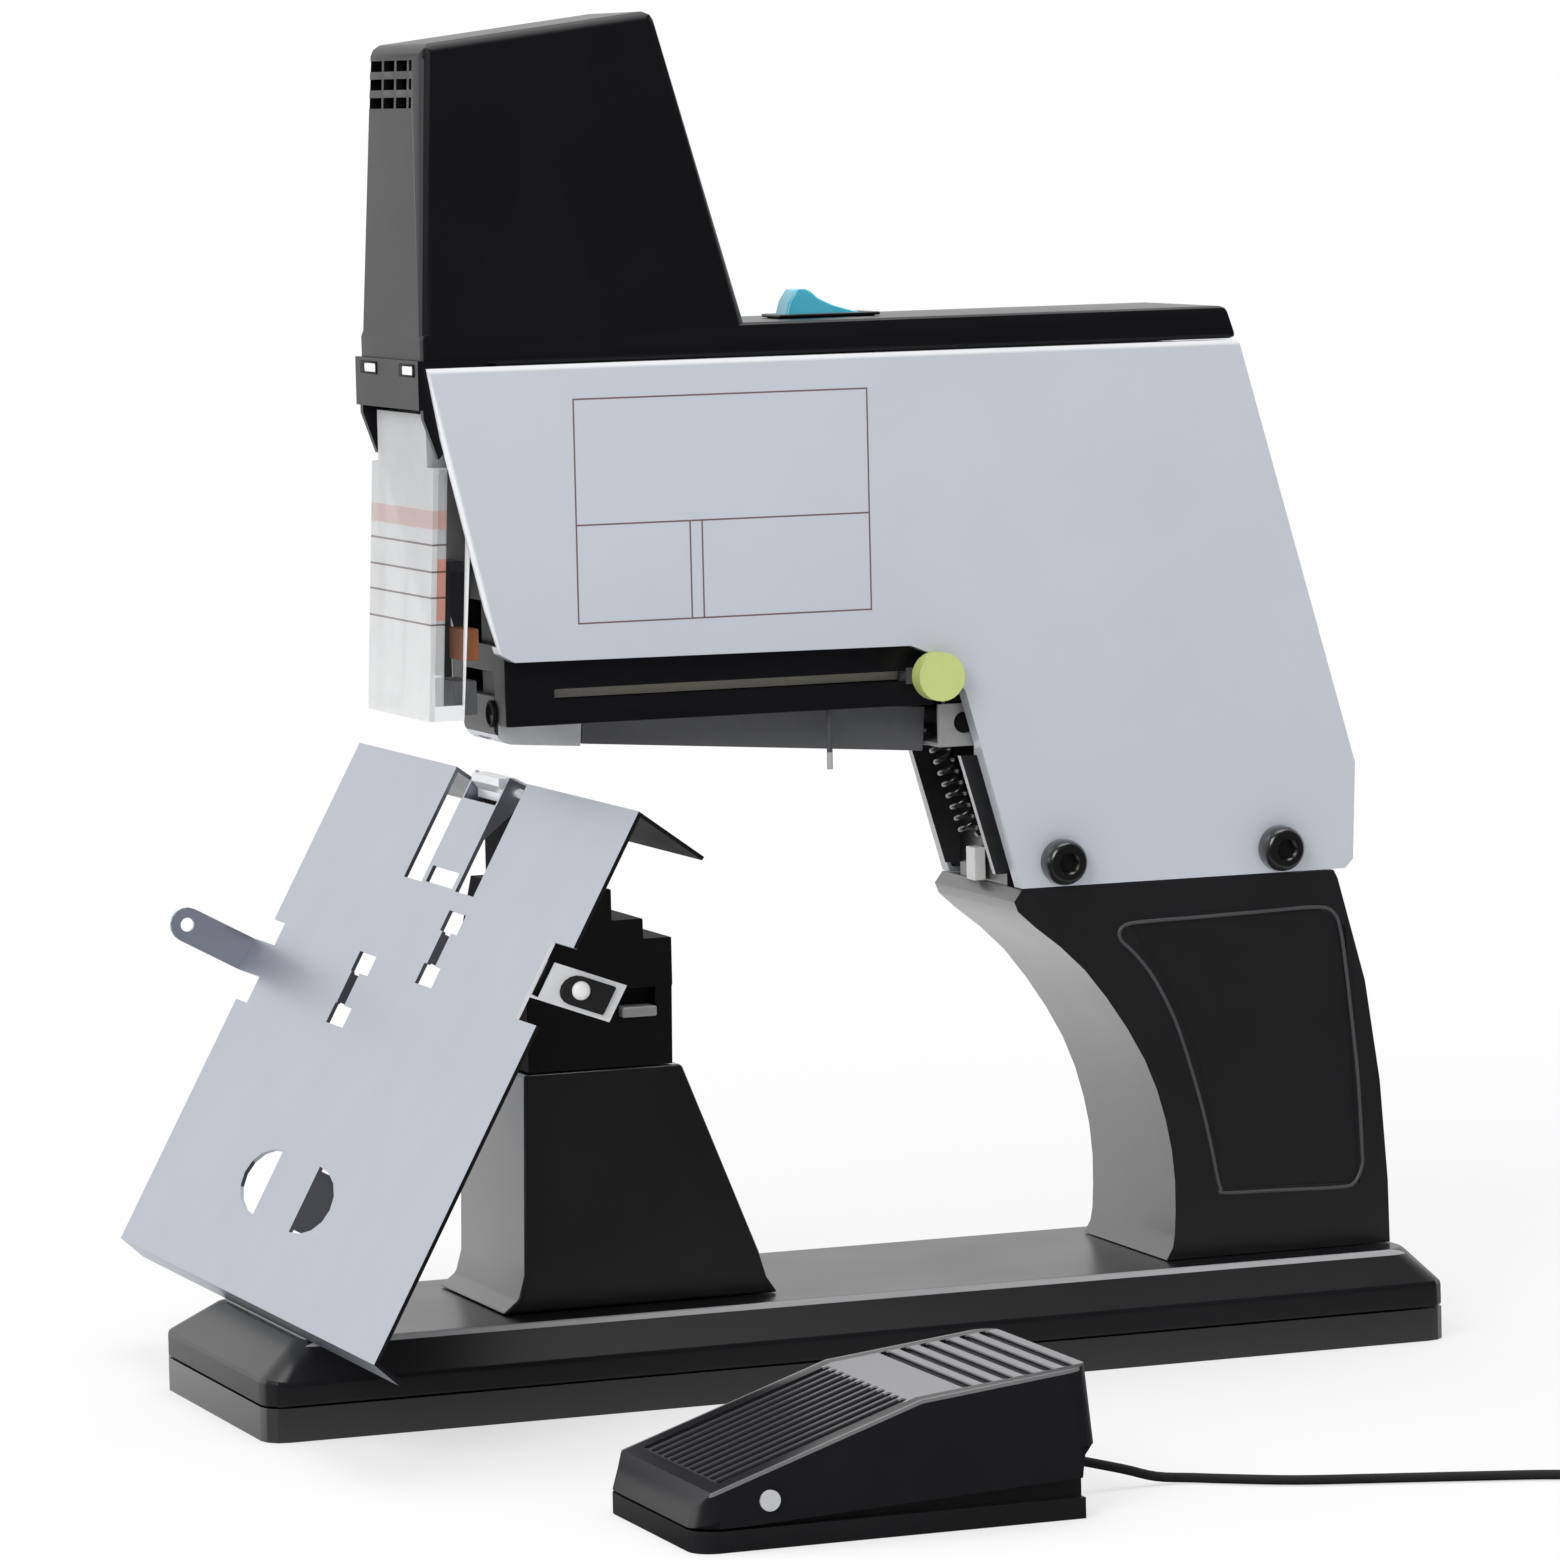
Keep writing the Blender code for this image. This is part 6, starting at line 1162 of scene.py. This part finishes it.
def nose_screw():
    """A black screw with a round recess, in the front of the nose."""
    centre = Vector((NOSE_SCREW.x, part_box("magazine_nose")[0].y, NOSE_SCREW.y))
    rim = NOSE_SCREW_RADIUS
    profile = [(0, -0.0006), (rim, -0.0006), (rim, 0.0004), (0.9 * rim, 0.0007), (NOSE_BORE, 0.0007)]
    profile += [(NOSE_BORE, -0.0002), (0, -0.0002)]
    shape = turned(profile, centre, (0, -1, 0), SCREW_SIDES)
    piece_of("nose_screw", shape, BLOCK_BLACK, "magazine_nose")


def rail_strip():
    low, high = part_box("margin_rail")
    start = (STRIP_X[0], low.y + STRIP_BEHIND, STRIP_Z[0])
    strip = block(start, (STRIP_X[1], high.y, STRIP_Z[1]), 0.0002)
    piece_of("rail_strip", strip, BLOCK_BLACK, "lower_arm")


dressed("lower_arm", SATIN_BLACK, 0.0007, 3)
dressed("margin_rail", RAIL_STEEL, 0.0002, 2)
dressed("margin_slider", slider_finish(), 0.0002, 2)
rail_strip()
dressed("margin_knob", KNOB_GREEN, 0.0026, 7)
dressed("magazine_body", GREY_STEEL, 0.0004)
dressed("magazine_nose", nose_finish(), 0.0006)
nose_screw()
dressed("staple_pusher", DARK_STEEL, 0.0003)
dressed("pivot_bracket", ZINC, 0.0003, 2)
dressed("pivot_pin", BLOCK_BLACK, 0.0004)
dressed("spring_seat", NYLON_WHITE, 0.0004)
print("arm and magazine dressed")

# %% [markdown]
# ## Return spring
#
# The spring is a coil of black wire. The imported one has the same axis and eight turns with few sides,
# so a finer helix with the same turns stands for it. Its wire is 1.8 mm thick instead of 1.4 mm, since
# the picture shows it stout.

# %% Spring
SPRING_TOP = Vector((0, 0.0478, 0.1936))
SPRING_FOOT = Vector((0, 0.0588, 0.1629))
SPRING_RADIUS = 0.0031
SPRING_WIRE = 0.0009
SPRING_CURLS = 8
CURL_STEPS = 20


def helix():
    axis = (SPRING_FOOT - SPRING_TOP).normalized()
    side = Vector((1, 0, 0))
    other = axis.cross(side)
    reach = (SPRING_FOOT - SPRING_TOP).length - 2 * SPRING_WIRE
    count = SPRING_CURLS * CURL_STEPS
    points = []
    for index in range(count + 1):
        angle = 2 * math.pi * index / CURL_STEPS
        along = SPRING_WIRE + reach * index / count
        spoke = side * math.cos(angle) + other * math.sin(angle)
        points.append(SPRING_TOP + axis * along + SPRING_RADIUS * spoke)
    return points


spring = run_tube("return_spring_wire", helix(), SPRING_WIRE, SCREW_BLACK, 4)
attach(spring, "frame")
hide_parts("return_spring")
print("return spring of", SPRING_CURLS, "turns")

# %% [markdown]
# ## Drive and frame plates
#
# The drive is hidden by the covers, and shows only from behind the guard or from below. Its packed
# shapes stay and get their metals. The frame plates are blackened, and their cut edges that face the
# front are painted in paler zinc, as a painted highlight.

# %% Drive
EDGE_FACES_FRONT = -0.5


def paint_front_edge_highlights(*names):
    """Paints the cut edges that face the front of the machine in paler zinc, as a painted highlight."""
    for name in names:
        mesh = NODES[name].data
        mesh.materials.append(ZINC)
        for face in mesh.polygons:
            # Painted highlight: edges facing the front get the paler zinc.
            if face.normal.y < EDGE_FACES_FRONT:
                face.material_index = 1


repaint(DARK_STEEL, "frame_plate_right", "frame_plate_left", "drive_gear", "ram")
paint_front_edge_highlights("frame_plate_right", "frame_plate_left")
repaint(ZINC, "motor")
repaint(POLISHED, "motor_pinion", "crankshaft")
repaint(BOARD_GREEN, "control_board")
print("drive painted")

# %% [markdown]
# ## Sockets at the rear
#
# The rear cover holds the mains inlet and the pedal's jack. The inlet's three flat pins stand in its
# recess.

# %% Rear sockets
dressed("inlet", MOULDED_BLACK, 0.0005)
dressed("pedal_socket", MOULDED_BLACK, 0.0003, 2)
INLET_LOW, INLET_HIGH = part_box("inlet")
PIN_HALF = Vector((0.0010, 0.0045, 0.0020))
PIN_OFFSETS = ((-0.0070, -0.0020), (0, 0.0025), (0.0070, -0.0020))
PIN_DEPTH = 0.0065


def inlet_pins():
    middle = (INLET_LOW + INLET_HIGH) / 2
    pins = []
    for x, z in PIN_OFFSETS:
        centre = Vector((middle.x + x, INLET_LOW.y + PIN_DEPTH, middle.z + z))
        pins.append(block(centre - PIN_HALF, centre + PIN_HALF, SMALL_ROUNDING))
    piece_of("inlet_pins", merged(pins), POLISHED, "inlet")


inlet_pins()
print("inlet pins in place")

# %% [markdown]
# ## Corners of the pedal
#
# The pedal is a black moulding in two parts, a base and a treadle. Its upright corners are much rounder
# than its other edges. One Bevel modifier has one radius, so a test picks these corners, and they are
# bevelled on the mesh first.

# %% Pedal corners
PEDAL_LOW, PEDAL_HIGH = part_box("treadle")
PEDAL_CORNER = 0.007
CORNER_FRONT, CORNER_REAR, CORNER_FROM_Z = 0.004, 0.006, 0.020
UPRIGHT = 0.9


def pedal_corner(edge):
    """An upright edge at one of the pedal's outer corners."""
    middle = (edge.verts[0].co + edge.verts[1].co) / 2
    at_side = min(abs(middle.x - PEDAL_LOW.x), abs(middle.x - PEDAL_HIGH.x)) < WELD
    upright = abs((edge.verts[0].co - edge.verts[1].co).normalized().z) > UPRIGHT
    at_front = middle.y < PEDAL_LOW.y + CORNER_FRONT
    at_rear = middle.y > PEDAL_HIGH.y - CORNER_REAR and middle.z > CORNER_FROM_Z
    return at_side and upright and (at_front or at_rear)


print("treadle", [round(side, 3) for side in PEDAL_HIGH - PEDAL_LOW], "m")

# %% [markdown]
# ## Grooves of the treadle
#
# The treadle's front slope has twelve long grooves, then comes a plain band, and the high rear has six
# cross grooves. A bump would leave the outline straight, so rounded blocks, tilted to lie along the
# slope, are cut out of the dressed solid.

# %% Pedal grooves
SLOPE_FRONT = Vector((-0.1336, 0.0168))
SLOPE_REAR = Vector((-0.0712, 0.0375))
TOP_REAR = Vector((-0.0202, 0.0430))
LONG_GROOVES = 12
LONG_GROOVE = (0.0036, 0.0011)
LONG_SPAN = (0.07, 0.97)
CROSS_GROOVES = 6
CROSS_GROOVE = (0.0033, 0.0013)
CROSS_SPAN = (0.31, 0.91)
GROOVE_ROUNDING = 0.0008
EDGE_BAND = 0.0080
CROSS_BAND = 0.0050


def tilted_block(size, middle, slope):
    """A rounded block whose length lies along a slope in the side view."""
    return tilted(block(-Vector(size) / 2, Vector(size) / 2, GROOVE_ROUNDING), middle, slope)


def grooves():
    width = PEDAL_HIGH.x - PEDAL_LOW.x
    middle_x = (PEDAL_LOW.x + PEDAL_HIGH.x) / 2
    slope, top = SLOPE_REAR - SLOPE_FRONT, TOP_REAR - SLOPE_REAR
    cutters = []
    start, stop = (SLOPE_FRONT + slope * share for share in LONG_SPAN)
    pitch = (width - 2 * EDGE_BAND) / (LONG_GROOVES - 1)
    centre = (start + stop) / 2
    for index in range(LONG_GROOVES):
        x = PEDAL_LOW.x + EDGE_BAND + pitch * index
        size = (LONG_GROOVE[0], (stop - start).length, 2 * LONG_GROOVE[1])
        cutters.append(tilted_block(size, (x, *centre), slope))
    first, last = CROSS_SPAN
    for index in range(CROSS_GROOVES):
        place = SLOPE_REAR + top * (first + (last - first) * index / (CROSS_GROOVES - 1))
        size = (width - 2 * CROSS_BAND, CROSS_GROOVE[0], 2 * CROSS_GROOVE[1])
        cutters.append(tilted_block(size, (middle_x, *place), top))
    return cutters


print("grooves are", round(1000 * LONG_GROOVE[0], 1), "mm and", round(1000 * CROSS_GROOVE[0], 1), "mm wide")

# %% [markdown]
# ## Finish of the treadle
#
# The treadle's rear top is matt grey. The crests of the long ribs are painted a little paler than the
# sides, and the rims beside the top paler still, as painted highlights. Masks by place draw them. They
# follow the two slopes of the top, so the sides stay black.

# %% Treadle finish
MATT_FROM_Y = -0.0745
RIBS_FROM_Y = SLOPE_FRONT.x + 0.004
MATT_GREY = (0.27, 0.27, 0.277)
RIB_CREST_HIGHLIGHT = (0.045, 0.045, 0.050)
TREADLE_RIM_HIGHLIGHT = (0.16, 0.16, 0.165)
RIM_BAND = 0.0010
SURFACE_DEPTH = 0.0005


def treadle_black():
    """Black moulding with a matt grey rear top, and painted highlights: paler crests on its long ribs and
    pale rims.
    """
    recipe = new_recipe("treadle_black")
    x, y, z = axes_of(recipe)
    cloud = grain(recipe, 0.02)
    peel = grain(recipe, 0.0005, FINE_DETAIL)
    run = y - SLOPE_REAR.x
    slope, top = SLOPE_REAR - SLOPE_FRONT, TOP_REAR - SLOPE_REAR
    rise = run.reckon("MINIMUM", run * (slope.y / slope.x), run * (top.y / top.x))
    surface = z > (rise + (SLOPE_REAR.y - SURFACE_DEPTH))
    across = inside(x, (PEDAL_LOW.x + CROSS_BAND, PEDAL_HIGH.x - CROSS_BAND))
    matt = surface * across * (y > MATT_FROM_Y)
    first, last = PEDAL_LOW.x + EDGE_BAND, PEDAL_HIGH.x - EDGE_BAND
    crests = surface * inside(x, (first, last)) * inside(y, (RIBS_FROM_Y, MATT_FROM_Y))
    colour = blend(cloud, (0.009, 0.009, 0.011), (0.012, 0.012, 0.014))
    # Painted highlight: the crests of the long ribs are paler.
    colour = blend(crests, colour, RIB_CREST_HIGHLIGHT)
    colour = blend(matt, colour, MATT_GREY)
    rounded = z > (rise + (SLOPE_REAR.y - RIM_BAND))
    rims = either(x < PEDAL_LOW.x + RIM_BAND, x > PEDAL_HIGH.x - RIM_BAND)
    # Painted highlight: the rounded rims beside the top are paler.
    colour = blend(rounded * rims, colour, TREADLE_RIM_HIGHLIGHT)
    return finished(recipe, {
        "Base Color": colour,
        "Roughness": 0.27 + 0.08 * peel + 0.25 * matt,
        "Specular IOR Level": 0.3,
        "Normal": relief(peel, 0.2, 0.00001),
    })


print("matt from", round(MATT_FROM_Y - PEDAL_LOW.y, 3), "m behind the toe")

# %% [markdown]
# ## Foot pedal
#
# The order of the steps matters here. The corners come first and the edges second. The grooves are cut
# into the result, and a Boolean makes a new mesh, so the weighted normals come last.

# %% Pedal
treadle = dressed("treadle", treadle_black(), 0, corners=pedal_corner, corner_radius=PEDAL_CORNER)
round_edges(treadle, 0.0016, 4)
carve(treadle, grooves())
treadle.data.set_sharp_from_angle(angle=SHARP)
weigh_normals(treadle)
dressed("pedal_base", MOULDED_BLACK, 0.0009, corners=pedal_corner, corner_radius=PEDAL_CORNER)
dressed("treadle_pin", POLISHED, 0.0003, 2)
repaint(POLISHED, "treadle_spring")
repaint(MOULDED_BLACK, "foot_switch")
print("pedal with", LONG_GROOVES, "long and", CROSS_GROOVES, "cross grooves")

# %% [markdown]
# ## Light that knows its rays
#
# The product stands in a white studio. To glossy rays the studio is white behind the machine, so that
# steel and gloss show that background, and dark on the camera's side, which keeps the black covers
# black. A real studio does this with black boards. Here the Light Path node tells the kinds of ray
# apart, and Mix Shaders choose what each kind finds.

# %% Studio tools
WHITE = (1, 1, 1, 1)
GLOSS_BRIGHT = 0.95
GLOSS_DARK = 0.03


def is_ray(recipe, kind):
    return recipe.node("ShaderNodeLightPath", output=f"Is {kind} Ray")


def glow(recipe, kind, strength):
    return recipe.node(kind, {}, {"Color": WHITE, "Strength": strength})


def either_shader(factor, first, second):
    return factor.recipe.node("ShaderNodeMixShader", {}, {0: factor, 1: first, 2: second})


def mirrored(across, sides, kind):
    """What glossy rays find: dark on the camera's side, bright behind the machine."""
    dark, bright = (glow(across.recipe, kind, strength) for strength in (GLOSS_DARK, GLOSS_BRIGHT))
    return either_shader(ramp(across, *sides), dark, bright)


print("gloss finds", GLOSS_DARK, "on the camera's side and", GLOSS_BRIGHT, "behind")

# %% [markdown]
# ## Floor
#
# The shadows under the machine are soft and end in plain white. A floor of white paper would turn grey
# farther off, where the lamps don't reach, so this one glows there by itself.

# %% Floor
FLOOR_HALF = 30.0
FLOOR_DROP = 0.0001
FLOOR_GREY = (0.80, 0.80, 0.80, 1)
FLOOR_FADE = (0.4, 0.9)
FLOOR_SIDES = (0.25, -0.25)
GLOW_NEAR, GLOW_GAIN = 0.6, 0.4
FLOOR_GLOW = "ShaderNodeEmission"


def floor_finish():
    """Matt close to the machine and glowing farther off, so that the shadows fade into white."""
    recipe = new_recipe("floor_white")
    x, y, _ = axes_of(recipe)
    reach = recipe.node("ShaderNodeMath", {"operation": "SQRT"}, {0: x * x + y * y})
    matt = recipe.node("ShaderNodeBsdfDiffuse", {}, {"Color": FLOOR_GREY})
    white = glow(recipe, FLOOR_GLOW, 1.0)
    seen = either_shader(GLOW_NEAR + GLOW_GAIN * ramp(reach, *FLOOR_FADE), matt, white)
    both = either_shader(is_ray(recipe, "Diffuse"), seen, matt)
    whole = either_shader(is_ray(recipe, "Glossy"), both, mirrored(x, FLOOR_SIDES, FLOOR_GLOW))
    recipe.node("ShaderNodeOutputMaterial", {}, {"Surface": whole})
    return recipe.owner


def add_floor():
    shape = bmesh.new()
    bmesh.ops.create_grid(shape, x_segments=2, y_segments=2, size=FLOOR_HALF)
    floor = added("floor", mesh_of("floor", shape))
    floor.location.z = -FLOOR_DROP
    floor.data.materials.append(floor_finish())


add_floor()
print("floor glows fully beyond", FLOOR_FADE[1], "m")

# %% [markdown]
# ## World
#
# The world is white where the camera looks straight at it, also through the clear guard. For all matt
# surfaces it is a weaker even light, since a full white one would wash out the shapes.

# %% World
WORLD_AMBIENT = 0.62
WORLD_SIDES = (0.24, -0.30)
WORLD_GLOW = "ShaderNodeBackground"


def light_world():
    world = bpy.data.worlds.new("studio")
    bpy.context.scene.world = world
    recipe = Recipe(world)
    where = recipe.node("ShaderNodeTexCoord", output="Generated")
    east = recipe.node("ShaderNodeSeparateXYZ", {}, {0: where}, output="X")
    ambient = glow(recipe, WORLD_GLOW, WORLD_AMBIENT)
    both = either_shader(is_ray(recipe, "Glossy"), ambient, mirrored(east, WORLD_SIDES, WORLD_GLOW))
    direct = either(is_ray(recipe, "Camera"), is_ray(recipe, "Transmission"))
    whole = either_shader(direct, both, glow(recipe, WORLD_GLOW, 1.0))
    recipe.node("ShaderNodeOutputWorld", {}, {"Surface": whole})


light_world()
print("world lights matt surfaces with", WORLD_AMBIENT)

# %% [markdown]
# ## Lamps
#
# Three large soft lamps give the plain light of a catalogue: the key from the right front, a weak one
# from the front and one above. Large areas make soft shadows, and all three aim at the machine's middle.

# %% Lamps
HEART = Vector((0.02, 0.0, 0.2))


def add_lamp(name, place, size, power):
    light = bpy.data.lights.new(name, "AREA")
    light.shape, light.size, light.size_y, light.energy = "RECTANGLE", *size, power
    added(name, light).matrix_world = aimed(Vector(place), HEART)


add_lamp("key_lamp", (1.4, -1.5, 1.5), (1.2, 1.2), 26)
add_lamp("front_lamp", (-0.7, -2.2, 0.9), (1.6, 1.2), 10.5)
add_lamp("top_lamp", (-0.2, 0.2, 2.2), (1.6, 1.6), 22)
bpy.context.scene.view_settings.view_transform = "Standard"
print("studio lit")

# %% [markdown]
# ## The end
#

# %% Sizes and finish
print("dressing done")
